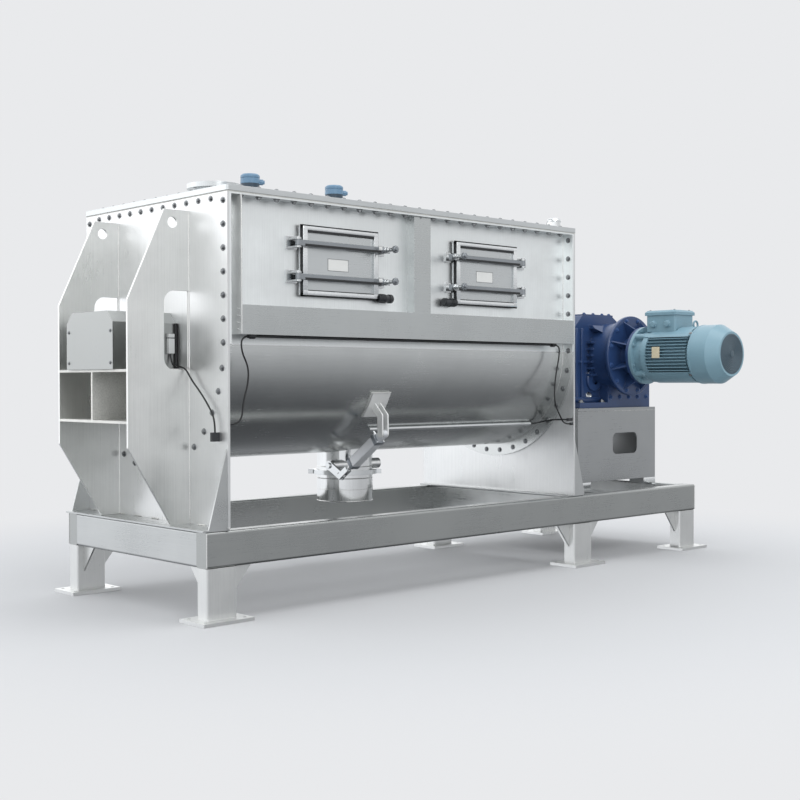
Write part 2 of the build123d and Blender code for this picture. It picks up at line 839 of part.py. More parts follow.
# Mixer shaft: a thick tube's outside between two turned journals
shaft_start = bearing_x - bearing_width / 2 - journal_overhang
main_start = trough_left + shaft_end_clearance
main_end = trough_right - shaft_end_clearance
journal_end = coupling_start + hub_length
shaft_axis = Axis((0, 0, axis_height), (1, 0, 0))
with BuildPart() as mixer_shaft:
    with BuildSketch(Plane.XZ):
        with BuildLine():
            Polyline(
                (shaft_start, axis_height),
                (shaft_start, axis_height + journal_radius),
                (main_start, axis_height + journal_radius),
                (main_start, axis_height + shaft_radius),
                (main_end, axis_height + shaft_radius),
                (main_end, axis_height + journal_radius),
                (journal_end, axis_height + journal_radius),
                (journal_end, axis_height),
                close=True,
            )
        make_face()
    revolve(axis=shaft_axis)
save(mixer_shaft.part, "mixer_shaft")

# Helical ribbons. Each half of the rotor has two outer and two inner strips, half a turn apart.
# The outer pair winds one way and moves the product to the outlet, the inner pair winds the other way.
half_length = trough_length / 2 - end_clearance - centre_gap / 2
half_starts = (trough_left + end_clearance, trough_mid + centre_gap / 2)


def ribbon_strip(radius, width, left_hand):
    """One strip along +Z from the origin: a flat section swept along a helix."""
    middle = radius - width / 2
    with BuildPart() as strip:
        with BuildLine() as path:
            Helix(half_length / ribbon_turns, half_length, middle, lefthand=left_hand)
        with BuildSketch(Plane(origin=path.line @ 0, x_dir=(1, 0, 0), z_dir=path.line % 0)):
            Rectangle(width, ribbon_thickness)
        sweep(is_frenet=True)
    return strip.part


def strip_places(start_x, first_angle):
    """Two places about the shaft, half a turn apart, for strips that start at one X."""
    angles = (radians(first_angle), radians(first_angle) + pi)
    return [
        Plane(origin=(start_x, 0, axis_height), x_dir=(0, cos(a), sin(a)), z_dir=(1, 0, 0)).location
        for a in angles
    ]


def ribbon_pair(radius, width, hands):
    """The strips of one ribbon over both halves of the rotor."""
    strips = [ribbon_strip(radius, width, left_hand) for left_hand in hands]
    with BuildPart() as ribbons:
        for start_x, strip in zip(half_starts, strips):
            with Locations(*strip_places(start_x, first_arm_angle)):
                add(strip)
    return ribbons


outer_ribbon = ribbon_pair(outer_ribbon_radius, outer_ribbon_width, (False, True))
save(outer_ribbon.part, "outer_ribbon")

# Radial arms from the shaft to the outer ribbon. The two ribbons cross every quarter turn,
# so the same arms carry both. Each arm's tip is notched for the outer ribbon's edge.
arm_root = shaft_radius - arm_radius
with BuildPart() as ribbon_arms:
    for start_x, way in zip(half_starts, (1, -1)):
        for station in range(arm_count):
            share = station / (arm_count - 1)
            x = start_x + share * half_length
            for opposite in (0, 180):
                angle = radians(first_arm_angle + opposite + way * 360 * ribbon_turns * share)
                arm_plane = Plane(origin=(x, 0, axis_height), x_dir=(1, 0, 0), z_dir=(0, cos(angle), sin(angle)))
                with BuildSketch(arm_plane.offset(arm_root)):
                    Circle(arm_radius)
                extrude(amount=outer_ribbon_radius - outer_ribbon_width + arm_notch_depth - arm_root)
    with BuildSketch(Plane.YZ.offset(main_start)):
        with Locations((0, axis_height)):
            Circle(shaft_radius)
    extrude(amount=main_end - main_start, mode=Mode.SUBTRACT)
    add(outer_ribbon.part, mode=Mode.SUBTRACT)
save(ribbon_arms.part, "ribbon_arms")

# Inner ribbon, wound the other way and let in round each arm
inner_ribbon = ribbon_pair(inner_ribbon_radius, inner_ribbon_width, (True, False))
with inner_ribbon:
    add(ribbon_arms.part, mode=Mode.SUBTRACT)
save(inner_ribbon.part, "inner_ribbon")

# Right bearing: a flanged cage on the end plate, open at the sides, with the bearing in its nose
cage_end = right_face + lantern_length
with BuildPart() as right_bearing:
    with BuildSketch(Plane.YZ.offset(right_face)):
        with Locations((0, axis_height)):
            Circle(lantern_radius)
            Circle(lantern_radius - lantern_wall, mode=Mode.SUBTRACT)
    extrude(amount=lantern_length)
    with BuildSketch(Plane.YZ.offset(cage_end - bearing_width / 2)):
        with Locations((0, axis_height)):
            Circle(lantern_radius)
            Circle(journal_radius + running_gap, mode=Mode.SUBTRACT)
    extrude(amount=bearing_width / 2)
    with BuildSketch(Plane.XY.offset(axis_height)):
        with Locations((right_face + 0.3 * lantern_length, 0)):
            RectangleRounded(0.4 * lantern_length, 0.9 * lantern_radius, 0.15 * lantern_length)
    extrude(amount=2 * lantern_radius, both=True, mode=Mode.SUBTRACT)
save(right_bearing.part, "right_bearing")

# Shaft coupling: two hubs with a rubber disc between them, the second one on the gearbox's
# output shaft
second_hub_start = journal_end + coupling_gap
output_bore_depth = gear_foot_height + output_shaft_radius
with BuildPart() as shaft_coupling:
    for start, length, bore in (
        (coupling_start, hub_length, journal_radius),
        (second_hub_start, hub_length, output_shaft_radius),
    ):
        with BuildSketch(Plane.YZ.offset(start)):
            with Locations((0, axis_height)):
                Circle(hub_radius)
                Circle(bore, mode=Mode.SUBTRACT)
        extrude(amount=length)
    with BuildSketch(Plane.YZ.offset(second_hub_start)):
        with Locations((0, axis_height)):
            Circle(output_shaft_radius)
    extrude(amount=gear_left + output_bore_depth - second_hub_start)
save(shaft_coupling.part, "shaft_coupling")

with BuildPart() as coupling_disc:
    with BuildSketch(Plane.YZ.offset(journal_end)):
        with Locations((0, axis_height)):
            RegularPolygon(hub_radius - arm_radius, 6)
    extrude(amount=coupling_gap)
save(coupling_disc.part, "coupling_disc")

# Round sheet guard over the coupling
with BuildPart() as coupling_guard:
    with BuildSketch(Plane.YZ.offset(right_face)):
        with Locations((0, axis_height)):
            Circle(guard_radius)
            Circle(guard_radius - guard_sheet, mode=Mode.SUBTRACT)
    extrude(amount=gear_left - seat_gap - right_face)
save(coupling_guard.part, "coupling_guard")

# Gearbox housing: cast right-angle housing on two foot bars, with sloped shoulders and cooling ribs
gear_right = gear_left + gear_length
gear_half = gear_depth / 2
gear_front = gear_foot_depth / 2
gear_top = gear_base + gear_height
gear_block_top = gear_base + gear_block_height
gear_cover_x = gear_block_left + 0.1 * gear_length
with BuildPart() as gearbox_housing:
    with BuildSketch(Plane.XZ.offset(-gear_half)):
        with BuildLine():
            Polyline(
                (gear_left, gear_base),
                (gear_right, gear_base),
                (gear_right, gear_top - 0.35 * gear_length),
                (gear_right - 0.22 * gear_length, gear_top - 0.12 * gear_length),
                (gear_right - 0.42 * gear_length, gear_top),
                (gear_left + 0.16 * gear_length, gear_top),
                (gear_left, gear_top - 0.16 * gear_length),
                close=True,
            )
        make_face()
    extrude(amount=gear_depth)
    fillet(gearbox_housing.edges().filter_by(Axis.Y).group_by(Axis.Z)[-1], 20)
    with BuildSketch(Plane.XZ.offset(gear_half)):
        with BuildLine():
            Polyline(
                (gear_block_left, gear_base),
                (gear_right, gear_base),
                (gear_right, gear_top - 0.35 * gear_length),
                (gear_right - 0.18 * gear_length, gear_block_top),
                (gear_block_left - 0.14 * gear_length, gear_block_top),
                (gear_block_left - 0.14 * gear_length, gear_block_top - 0.03 * gear_length),
                (gear_block_left - 0.04 * gear_length, gear_block_top - 0.085 * gear_length),
                (gear_block_left, gear_block_top - 0.085 * gear_length),
                close=True,
            )
        make_face()
    extrude(amount=gear_front - gear_half)
    block_edges = gearbox_housing.edges().filter_by(Axis.X).filter_by_position(Axis.Y, -gear_front - 1, -gear_front + 1)
    chamfer(block_edges.sort_by(Axis.Z)[-1], gear_block_chamfer)
    with Locations((gear_cover_x, 0, gear_top + gear_cover_thickness / 2)):
        Box(gear_cover_length, gear_cover_width, gear_cover_thickness)
    with Locations(((gear_left + gear_right) / 2, 0, gear_base + gear_foot_height / 2)):
        Box(gear_length, gear_foot_depth, gear_foot_height)
    with BuildSketch(Plane.XZ.offset(gear_half)):
        with Locations((input_x, input_z)):
            Circle(input_boss_radius)
    extrude(amount=-input_ring_face - gear_half - input_ring_thickness)
    for step in range(gear_rib_count):
        rib_z = gear_base + gear_rib_bottom + gear_rib_pitch * step
        with Locations((gear_block_left - gear_rib_reach / 2, -gear_half - gear_rib_depth / 2, rib_z)):
            Box(gear_rib_reach, gear_rib_depth, gear_rib_thickness)
    with BuildSketch(Plane.YZ.offset(gear_left)):
        with Locations((0, axis_height)):
            Circle(output_shaft_radius + running_gap)
    extrude(amount=output_bore_depth, mode=Mode.SUBTRACT)
save(gearbox_housing.part, "gearbox_housing")

# Input lantern: large ring on the gearbox, slanted ribs, small ring for the motor flange
ring_back = input_ring_face + input_ring_thickness
with BuildPart() as input_lantern:
    with BuildSketch(Plane.XZ.offset(-ring_back)):
        with Locations((input_x, input_z)):
            Circle(input_ring_radius)
    extrude(amount=input_ring_thickness)
    with BuildSketch(Plane.XZ.offset(-input_ring_face)):
        with Locations((input_x, input_z)):
            Circle(input_core_radius)
    extrude(amount=input_ring_face - motor_flange_face)
    with BuildSketch(Plane.XZ.offset(-motor_flange_face - motor_flange_thickness)):
        with Locations((input_x, input_z)):
            Circle(motor_flange_radius)
    extrude(amount=motor_flange_thickness)
    for index in range(lantern_rib_count):
        angle = radians(360 * (index + 0.5) / lantern_rib_count)
        rib_plane = Plane(
            origin=(input_x, 0, input_z),
            x_dir=(cos(angle), 0, sin(angle)),
            z_dir=(sin(angle), 0, -cos(angle)),
        )
        with BuildSketch(rib_plane):
            with BuildLine():
                Polyline(
                    (input_core_radius - 10, -input_ring_face),
                    (input_ring_radius - 10, -input_ring_face),
                    (motor_flange_radius - 4, -motor_flange_face - motor_flange_thickness),
                    (input_core_radius - 10, -motor_flange_face - motor_flange_thickness),
                    close=True,
                )
            make_face()
        extrude(amount=gusset_thickness / 2, both=True)
save(input_lantern.part, "input_lantern")

# Pedestal under the gearbox: a welded box open below, windows front and rear, four feet
pedestal_bottom = frame_top + pedestal_foot_height
pedestal_right = pedestal_left + pedestal_length
pedestal_middle_x = (pedestal_left + pedestal_right) / 2
with BuildPart() as gearbox_pedestal:
    with BuildSketch(Plane.XY.offset(pedestal_bottom)):
        with Locations((pedestal_middle_x, 0)):
            Rectangle(pedestal_length, 2 * pedestal_half_depth)
            Rectangle(
                pedestal_length - 2 * pedestal_wall,
                2 * pedestal_half_depth - 2 * pedestal_wall,
                mode=Mode.SUBTRACT,
            )
    extrude(amount=gear_base - pedestal_top_plate - pedestal_bottom)
    with BuildSketch(Plane.XY.offset(gear_base - pedestal_top_plate)):
        with Locations((pedestal_middle_x, 0)):
            Rectangle(pedestal_length, 2 * pedestal_half_depth)
    extrude(amount=pedestal_top_plate)
    with BuildSketch(Plane.XZ):
        with Locations((pedestal_window_x, pedestal_window_z)):
            RectangleRounded(pedestal_window_width, pedestal_window_height, pedestal_window_radius)
    extrude(amount=2 * pedestal_half_depth, both=True, mode=Mode.SUBTRACT)
    for x in (pedestal_left + pedestal_foot_length / 2, pedestal_right - pedestal_foot_length / 2):
        for side in (-1, 1):
            y = side * (pedestal_half_depth - pedestal_foot_width / 2)
            with Locations((x, y, frame_top + pedestal_foot_height / 2)):
                Box(pedestal_foot_length, pedestal_foot_width, pedestal_foot_height)
save(gearbox_pedestal.part, "gearbox_pedestal")

# Motor: flange, end shield with corner bosses, side fins, pad for the terminal box, lugs for the cowl
motor_flange_end = motor_flange_face - motor_flange_thickness
motor_pad = 0.8 * terminal_box_width
with BuildPart() as motor_body:
    with BuildSketch(Plane.XZ.offset(-motor_flange_face)):
        with Locations((input_x, input_z)):
            Circle(motor_flange_radius)
    extrude(amount=motor_flange_thickness)
    with BuildSketch(Plane.XZ.offset(-motor_flange_end)):
        with Locations((input_x, input_z)):
            Circle(motor_frame_radius)
    extrude(amount=motor_flange_end - motor_frame_end)
    with BuildSketch(Plane.XZ.offset(-motor_flange_end)):
        with Locations((input_x, input_z)):
            for turn in (45, 135):
                Rectangle(2 * motor_fin_radius, motor_shield_boss, rotation=turn)
    extrude(amount=motor_shield_length)
    with BuildSketch(Plane.XZ.offset(-motor_flange_end + motor_shield_length - motor_shield_ring)):
        with Locations((input_x, input_z)):
            Circle(motor_fin_radius - motor_fin_thickness)
    extrude(amount=motor_shield_ring)
    with BuildSketch(Plane.XZ.offset(-motor_flange_end + motor_shield_length)):
        with Locations((input_x, input_z)):
            Circle(motor_fin_radius)
            Rectangle(2 * motor_fin_radius, 2 * motor_side_half, mode=Mode.SUBTRACT)
        for step in range(-motor_fin_count, motor_fin_count + 1):
            across = 2 * sqrt(motor_fin_radius**2 - (step * motor_fin_pitch) ** 2)
            with Locations((input_x, input_z + step * motor_fin_pitch)):
                Rectangle(across, motor_fin_thickness)
    extrude(amount=motor_flange_end - motor_frame_end - motor_shield_length - motor_lug_thickness)
    pad_height = terminal_box_bottom - input_z
    with Locations((input_x, terminal_box_y, input_z + pad_height / 2)):
        Box(motor_pad, terminal_box_length - 2 * motor_lug_thickness, pad_height)
    with Locations((input_x, terminal_box_y, terminal_box_bottom + motor_fin_radius / 2)):
        Box(terminal_box_width, terminal_box_length, motor_fin_radius, mode=Mode.SUBTRACT)
    with BuildSketch(Plane.XZ.offset(-motor_frame_end - motor_lug_thickness)):
        with Locations((input_x, input_z)):
            for turn in (45, 135):
                Rectangle(2 * fan_cowl_radius - 2, 2 * motor_lug_thickness, rotation=turn)
    extrude(amount=motor_lug_thickness)
    with BuildSketch(Plane.XZ.offset(-motor_flange_face)):
        with Locations((input_x, input_z)):
            Circle(motor_shaft_radius + running_gap)
    extrude(amount=motor_flange_face - motor_frame_end, mode=Mode.SUBTRACT)
save(motor_body.part, "motor_body")

# Terminal box with its wider lid
with BuildPart() as terminal_box:
    box_height = terminal_box_top - terminal_lid_thickness - terminal_box_bottom
    with Locations((input_x, terminal_box_y, terminal_box_bottom + box_height / 2)):
        Box(terminal_box_width - 2 * terminal_wall, terminal_box_length - 2 * terminal_wall, box_height)
    fillet(terminal_box.edges().filter_by(Axis.Z), 2 * terminal_wall)
    with Locations((input_x, terminal_box_y, terminal_box_top - terminal_lid_thickness / 2)):
        Box(terminal_box_width, terminal_box_length, terminal_lid_thickness)
    chamfer(terminal_box.faces().sort_by(Axis.Z)[-1].edges(), terminal_lid_chamfer)
save(terminal_box.part, "terminal_box")

# Fan cowl: round sheet hood, tapered at its end, with a slotted grille
cowl_taper_start = fan_cowl_end + fan_cowl_taper
motor_axis = Axis((input_x, 0, input_z), (0, 1, 0))
with BuildPart() as fan_cowl:
    with BuildSketch(Plane.XY.offset(input_z)):
        with BuildLine():
            Polyline(
                (input_x + fan_cowl_radius, motor_frame_end),
                (input_x + fan_cowl_radius, cowl_taper_start),
                (input_x + grille_radius + cowl_lip, fan_cowl_end),
                (input_x, fan_cowl_end),
                (input_x, fan_cowl_end + fan_cowl_sheet),
                (input_x + grille_radius + cowl_lip - fan_cowl_sheet, fan_cowl_end + fan_cowl_sheet),
                (input_x + fan_cowl_radius - fan_cowl_sheet, cowl_taper_start),
                (input_x + fan_cowl_radius - fan_cowl_sheet, motor_frame_end),
                close=True,
            )
        make_face()
    revolve(axis=motor_axis)
    with BuildSketch(Plane.XZ.offset(-fan_cowl_end)):
        for index in range(grille_slot_count):
            angle = 360 * index / grille_slot_count
            reach = 0.62 * grille_radius
            with Locations((input_x + reach * cos(radians(angle)), input_z + reach * sin(radians(angle)))):
                SlotOverall(0.7 * grille_radius, 0.12 * grille_radius, rotation=angle)
    extrude(amount=-2 * fan_cowl_sheet, mode=Mode.SUBTRACT)
save(fan_cowl.part, "fan_cowl")

# Motor shaft with its cooling fan
fan_far = fan_cowl_end + fan_end_gap
with BuildPart() as motor_rotor:
    with BuildSketch(Plane.XZ.offset(-motor_flange_face)):
        with Locations((input_x, input_z)):
            Circle(motor_shaft_radius)
    extrude(amount=motor_flange_face - fan_far)
    with BuildSketch(Plane.XZ.offset(-fan_far - fan_length)):
        with Locations((input_x, input_z)):
            Circle(fan_hub_radius)
            for index in range(fan_blade_count):
                Rectangle(
                    fan_radius,
                    fan_blade_thickness,
                    rotation=360 * index / fan_blade_count,
                    align=(Align.MIN, Align.CENTER),
                )
    extrude(amount=fan_length)
save(motor_rotor.part, "motor_rotor")

# Discharge neck under the trough, with bosses for the valve shaft and a clamp ferrule below
neck_top = axis_height - shell_radius + 0.3 * neck_radius
with BuildPart() as discharge_neck:
    with BuildSketch(Plane.XY.offset(neck_joint_z)):
        with Locations((trough_mid, 0)):
            Circle(neck_radius)
    extrude(amount=neck_top - neck_joint_z)
    with BuildSketch(Plane.YZ.offset(trough_mid - valve_front)):
        with Locations((valve_shaft_y, valve_shaft_z)):
            Circle(valve_boss_radius)
    extrude(amount=valve_front + valve_rear)
    with BuildSketch(Plane.XY.offset(neck_joint_z)):
        with Locations((trough_mid, 0)):
            Circle(ferrule_radius)
    extrude(amount=ferrule_thickness)
    with BuildSketch(Plane.XY.offset(neck_joint_z)):
        with Locations((trough_mid, 0)):
            Circle(neck_radius - neck_wall)
    extrude(amount=neck_top - neck_joint_z, mode=Mode.SUBTRACT)
    with BuildSketch(Plane.YZ.offset(trough_mid - valve_front)):
        with Locations((valve_shaft_y, valve_shaft_z)):
            Circle(valve_shaft_radius + running_gap)
        with Locations((0, axis_height)):
            Circle(shell_radius)
    extrude(amount=valve_front + valve_rear, mode=Mode.SUBTRACT)
save(discharge_neck.part, "discharge_neck")

# Skirt below the neck
with BuildPart() as discharge_skirt:
    with BuildSketch(Plane.XY.offset(skirt_bottom)):
        with Locations((trough_mid, 0)):
            Circle(neck_radius)
            Circle(neck_radius - neck_wall, mode=Mode.SUBTRACT)
    extrude(amount=neck_joint_z - skirt_bottom)
    with BuildSketch(Plane.XY.offset(neck_joint_z - ferrule_thickness)):
        with Locations((trough_mid, 0)):
            Circle(ferrule_radius)
            Circle(neck_radius - neck_wall, mode=Mode.SUBTRACT)
    extrude(amount=ferrule_thickness)
save(discharge_skirt.part, "discharge_skirt")

# Clamp ring round both ferrules, with two pairs of bolt lugs
ring_half = ferrule_thickness + clamp_ring_lip
with BuildPart() as clamp_ring:
    with BuildSketch(Plane.XY.offset(neck_joint_z - ring_half)):
        with Locations((trough_mid, 0)):
            Circle(clamp_ring_radius)
            for opposite in (0, 180):
                with Locations(Rotation(0, 0, clamp_lug_angle + opposite)):
                    with Locations((clamp_ring_radius + clamp_lug_length / 2 - clamp_thickness, 0)):
                        Rectangle(clamp_lug_length, 3 * clamp_thickness)
            Circle(clamp_ring_throat, mode=Mode.SUBTRACT)
    extrude(amount=2 * ring_half)
    with BuildSketch(Plane.XY.offset(neck_joint_z - ferrule_thickness)):
        with Locations((trough_mid, 0)):
            Circle(ferrule_radius)
    extrude(amount=2 * ferrule_thickness, mode=Mode.SUBTRACT)
save(clamp_ring.part, "clamp_ring")

# Valve shaft with its slotted crank
crank_x = trough_mid - actuator_offset
crank_angle = radians(crank_rest_angle)
crank_way = (cos(crank_angle), sin(crank_angle))
with BuildPart() as valve_shaft:
    with BuildSketch(Plane.YZ.offset(trough_mid - valve_front - valve_shaft_overhang)):
        with Locations((valve_shaft_y, valve_shaft_z)):
            Circle(valve_shaft_radius)
    extrude(amount=valve_front + valve_rear + valve_shaft_overhang)
    with BuildSketch(Plane.YZ.offset(crank_x - crank_thickness / 2)):
        with Locations((valve_shaft_y, valve_shaft_z)):
            Circle(crank_hub_radius)
        with Locations((valve_shaft_y + crank_radius * crank_way[0], valve_shaft_z + crank_radius * crank_way[1])):
            Circle(crank_end_radius)
        reach = crank_radius / 2
        with Locations((valve_shaft_y + reach * crank_way[0], valve_shaft_z + reach * crank_way[1])):
            Rectangle(crank_radius, 2 * crank_end_radius, rotation=crank_rest_angle)
        slot_length = crank_slot_inner + crank_slot_outer + 2 * crank_slot_half_width
        reach = crank_radius + (crank_slot_outer - crank_slot_inner) / 2
        with Locations((valve_shaft_y + reach * crank_way[0], valve_shaft_z + reach * crank_way[1])):
            SlotOverall(slot_length, 2 * crank_slot_half_width, rotation=crank_rest_angle, mode=Mode.SUBTRACT)
    extrude(amount=crank_thickness)
save(valve_shaft.part, "valve_shaft")

# Valve flap: a disc on two lugs round the shaft, shown hanging open in the skirt
flap_angle = radians(-flap_open_angle)
flap_plane = Plane(
    origin=(trough_mid, valve_shaft_y, valve_shaft_z),
    x_dir=(1, 0, 0),
    z_dir=(0, -sin(flap_angle), cos(flap_angle)),
)
flap_reach = -valve_shaft_y
flap_underside = flap_offset - flap_thickness / 2
with BuildPart() as valve_flap:
    with BuildSketch(flap_plane.offset(flap_underside)):
        with Locations((0, flap_reach)):
            Circle(flap_radius)
    extrude(amount=flap_thickness)
    for x in (-valve_lug_pitch / 2, valve_lug_pitch / 2):
        lug_plane = Plane(
            origin=(trough_mid + x, valve_shaft_y, valve_shaft_z),
            x_dir=(0, cos(flap_angle), sin(flap_angle)),
            z_dir=(1, 0, 0),
        )
        with BuildSketch(lug_plane):
            with BuildLine():
                Polyline(
                    (-valve_lug_radius, 0),
                    (valve_lug_radius, 0),
                    (flap_reach, flap_underside),
                    (-valve_lug_radius, flap_underside),
                    close=True,
                )
            make_face()
            Circle(valve_lug_radius)
            Circle(valve_shaft_radius, mode=Mode.SUBTRACT)
        extrude(amount=valve_lug_thickness / 2, both=True)
save(valve_flap.part, "valve_flap")

# Bracket of the valve cylinder: a curved pad on the trough, two cranked ears and their pin
with BuildPart() as cylinder_bracket:
    with BuildSketch(Plane.YZ.offset(crank_x - bracket_pad_length / 2)):
        with Locations((0, axis_height)):
            Circle(shell_radius + bracket_pad_thickness)
            Circle(shell_radius, mode=Mode.SUBTRACT)
        with Locations((-shell_radius, (bracket_pad_bottom + bracket_pad_top) / 2)):
            Rectangle(shell_radius, bracket_pad_top - bracket_pad_bottom, mode=Mode.INTERSECT)
    extrude(amount=bracket_pad_length)
    for way in (-1, 1):
        ear_x = crank_x + way * (bracket_gap + bracket_ear) / 2
        with BuildSketch(Plane.YZ.offset(ear_x - bracket_ear / 2)):
            corners = (bracket_foot, bracket_elbow, (actuator_pivot_y, actuator_pivot_z))
            for start, end in zip(corners, corners[1:]):
                turn = atan2(end[1] - start[1], end[0] - start[0])
                with Locations(((start[0] + end[0]) / 2, (start[1] + end[1]) / 2)):
                    length = hypot(end[0] - start[0], end[1] - start[1])
                    Rectangle(length, bracket_band, rotation=turn * 180 / pi)
                with Locations(end):
                    Circle(bracket_band / 2)
            with Locations((0, axis_height)):
                Circle(shell_radius, mode=Mode.SUBTRACT)
        extrude(amount=bracket_ear)
    with BuildSketch(Plane.YZ.offset(crank_x - bracket_gap / 2 - bracket_ear)):
        with Locations((actuator_pivot_y, actuator_pivot_z)):
            Circle(actuator_pin_radius)
    extrude(amount=bracket_gap + 2 * bracket_ear)
save(cylinder_bracket.part, "cylinder_bracket")

# Pneumatic cylinder: a square barrel that swings on the bracket's pin, aimed at the crank
pin_y = valve_shaft_y + crank_radius * crank_way[0]
pin_z = valve_shaft_z + crank_radius * crank_way[1]
pin_reach = hypot(pin_y - actuator_pivot_y, pin_z - actuator_pivot_z)
aim = atan2(pin_z - actuator_pivot_z, pin_y - actuator_pivot_y)
aim_plane = Plane(
    origin=(crank_x, actuator_pivot_y, actuator_pivot_z),
    x_dir=(1, 0, 0),
    z_dir=(0, cos(aim), sin(aim)),
)
side_plane = Plane(
    origin=(crank_x, actuator_pivot_y, actuator_pivot_z),
    x_dir=(0, cos(aim), sin(aim)),
    z_dir=(1, 0, 0),
)
with BuildPart() as cylinder_barrel:
    with BuildSketch(aim_plane.offset(barrel_start)):
        RectangleRounded(barrel_size, barrel_size, 6)
    extrude(amount=barrel_end - barrel_start)
    with BuildSketch(side_plane):
        Circle(actuator_eye_radius)
        with Locations((barrel_start / 2, 0)):
            Rectangle(barrel_start, 2 * actuator_eye_radius)
        Circle(actuator_pin_radius + running_gap, mode=Mode.SUBTRACT)
    extrude(amount=barrel_tongue / 2, both=True)
    with BuildSketch(aim_plane.offset(barrel_bore_start)):
        Circle(rod_radius + running_gap)
    extrude(amount=barrel_end - barrel_bore_start, mode=Mode.SUBTRACT)
save(cylinder_barrel.part, "cylinder_barrel")

# Its rod, with a fork and pin that work in the crank's slot
with BuildPart() as cylinder_rod:
    with BuildSketch(aim_plane.offset(rod_start)):
        Circle(rod_radius)
    extrude(amount=fork_start - rod_start)
    with BuildSketch(aim_plane.offset(fork_start)):
        Rectangle(fork_gap + 2 * fork_ear, fork_height)
    extrude(amount=fork_block)
    with BuildSketch(aim_plane.offset(fork_start + fork_block)):
        for way in (-1, 1):
            with Locations((way * (fork_gap + fork_ear) / 2, 0)):
                Rectangle(fork_ear, fork_height)
    extrude(amount=pin_reach + fork_tip - fork_start - fork_block)
    with BuildSketch(side_plane.offset(-fork_gap / 2 - fork_ear)):
        with Locations((pin_reach, 0)):
            Circle(crank_pin_radius)
    extrude(amount=fork_gap + 2 * fork_ear)
save(cylinder_rod.part, "cylinder_rod")

# Air pipe along the trough and cable conduit under the front beam
conduit_z = beam_bottom - conduit_radius - seat_gap
with BuildPart() as service_pipes:
    with BuildSketch(Plane.YZ.offset(pipe_left)):
        with Locations((pipe_y, pipe_z)):
            Circle(pipe_radius)
    extrude(amount=pipe_right - pipe_left)
    with BuildSketch(Plane.YZ.offset(conduit_left)):
        with Locations((conduit_y, conduit_z)):
            Circle(conduit_radius)
    extrude(amount=conduit_right - conduit_left)
save(service_pipes.part, "service_pipes")

# Cable glands, the hose block and the small terminal box on the bearing cover
cover_front = -cover_width / 2
with BuildPart() as cable_fittings:
    with BuildSketch(Plane.YZ.offset(trough_left)):
        with Locations((conduit_y, left_gland_z)):
            RegularPolygon(gland_radius, 6)
    extrude(amount=gland_length)
    with BuildSketch(Plane.YZ.offset(trough_right)):
        with Locations((conduit_y, right_gland_z)):
            RegularPolygon(gland_radius, 6)
    extrude(amount=-gland_length)
    with Locations((left_face - gland_length, cable_elbow_y, cable_elbow_top - gland_length)):
        Box(2 * gland_length, 2 * gland_radius, 2 * gland_length)
    block_length = trough_right - hose_block_x + gland_radius
    with Locations((trough_right - block_length / 2, hose_block_y - gland_radius, right_gland_z + 3 * gland_radius)):
        Box(block_length, 2 * gland_radius, 2 * gland_radius)
    with Locations((cable_box_x, cover_front - cable_box_depth / 2, cable_box_z)):
        Box(cable_box_width, cable_box_depth, cable_box_height)
save(cable_fittings.part, "cable_fittings")


def cable(points, label):
    """Round cable through the points, its corners rounded as wide as the runs allow."""
    radii = []
    for before, corner, after in zip(points, points[1:], points[2:]):
        first = Vector(corner) - Vector(before)
        second = Vector(after) - Vector(corner)
        half_turn = radians(first.get_angle(second)) / 2
        radii.append(0.45 * min(first.length, second.length) * cos(half_turn) / sin(half_turn))
    print(label, "bend radii", [round(radius) for radius in radii])
    with BuildPart() as cord:
        with BuildLine() as path:
            FilletPolyline(*points, radius=radii)
        with BuildSketch(Plane(origin=path.line @ 0, z_dir=path.line % 0)):
            Circle(cable_radius)
        sweep(path=path.line)
    save(cord.part, label)


cable(
    [
        (conduit_left, conduit_y, conduit_z),
        (conduit_left - 56, conduit_y, conduit_z),
        (conduit_left - 58, conduit_y, 1190),
        (conduit_left - 19, conduit_y, 1120),
        (conduit_left - 20, conduit_y, 1050),
        (conduit_left - 48, conduit_y, 965),
        (conduit_left - 58, conduit_y, left_gland_z),
        (trough_left + gland_length, conduit_y, left_gland_z),
    ],
    "cable_front_left",
)
cable(
    [
        (conduit_right, conduit_y, conduit_z),
        (conduit_right + 58, conduit_y, conduit_z),
        (conduit_right + 54, conduit_y, 1190),
        (496, conduit_y, 1095),
        (482, conduit_y, 997),
        (488, conduit_y, 925),
        (533, conduit_y, 857),
        (566, conduit_y, right_gland_z),
        (trough_right - gland_length, conduit_y, right_gland_z),
    ],
    "cable_front_right",
)
cable_box_bottom = cable_box_z - cable_box_height / 2
cable_box_y = cover_front - cable_box_depth / 2
cable_plane_x = left_face - gland_length
cable(
    [
        (cable_box_x, cable_box_y, cable_box_bottom),
        (cable_box_x, cable_box_y, 1123),
        (cable_box_x + 8, -316, 1123),
        (cable_plane_x - 2, -362, 1061),
        (cable_plane_x, -425, 1010),
        (cable_plane_x, -487, 952),
        (cable_plane_x, cable_elbow_y, 890),
        (cable_plane_x, cable_elbow_y, cable_elbow_top),
    ],
    "cable_left",
)
hose_z = right_gland_z + 3 * gland_radius
cable(
    [
        (pipe_right, pipe_y, pipe_z),
        (pipe_right + 52, pipe_y, pipe_z),
        (hose_block_x - 8, -437, 828),
        (hose_block_x, -517, hose_z),
        (hose_block_x, hose_block_y, hose_z),
    ],
    "valve_hose",
)
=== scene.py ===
from math import atan2, cos, pi, radians, sin

import bmesh
import bpy
from mathutils import Euler, Matrix, Vector


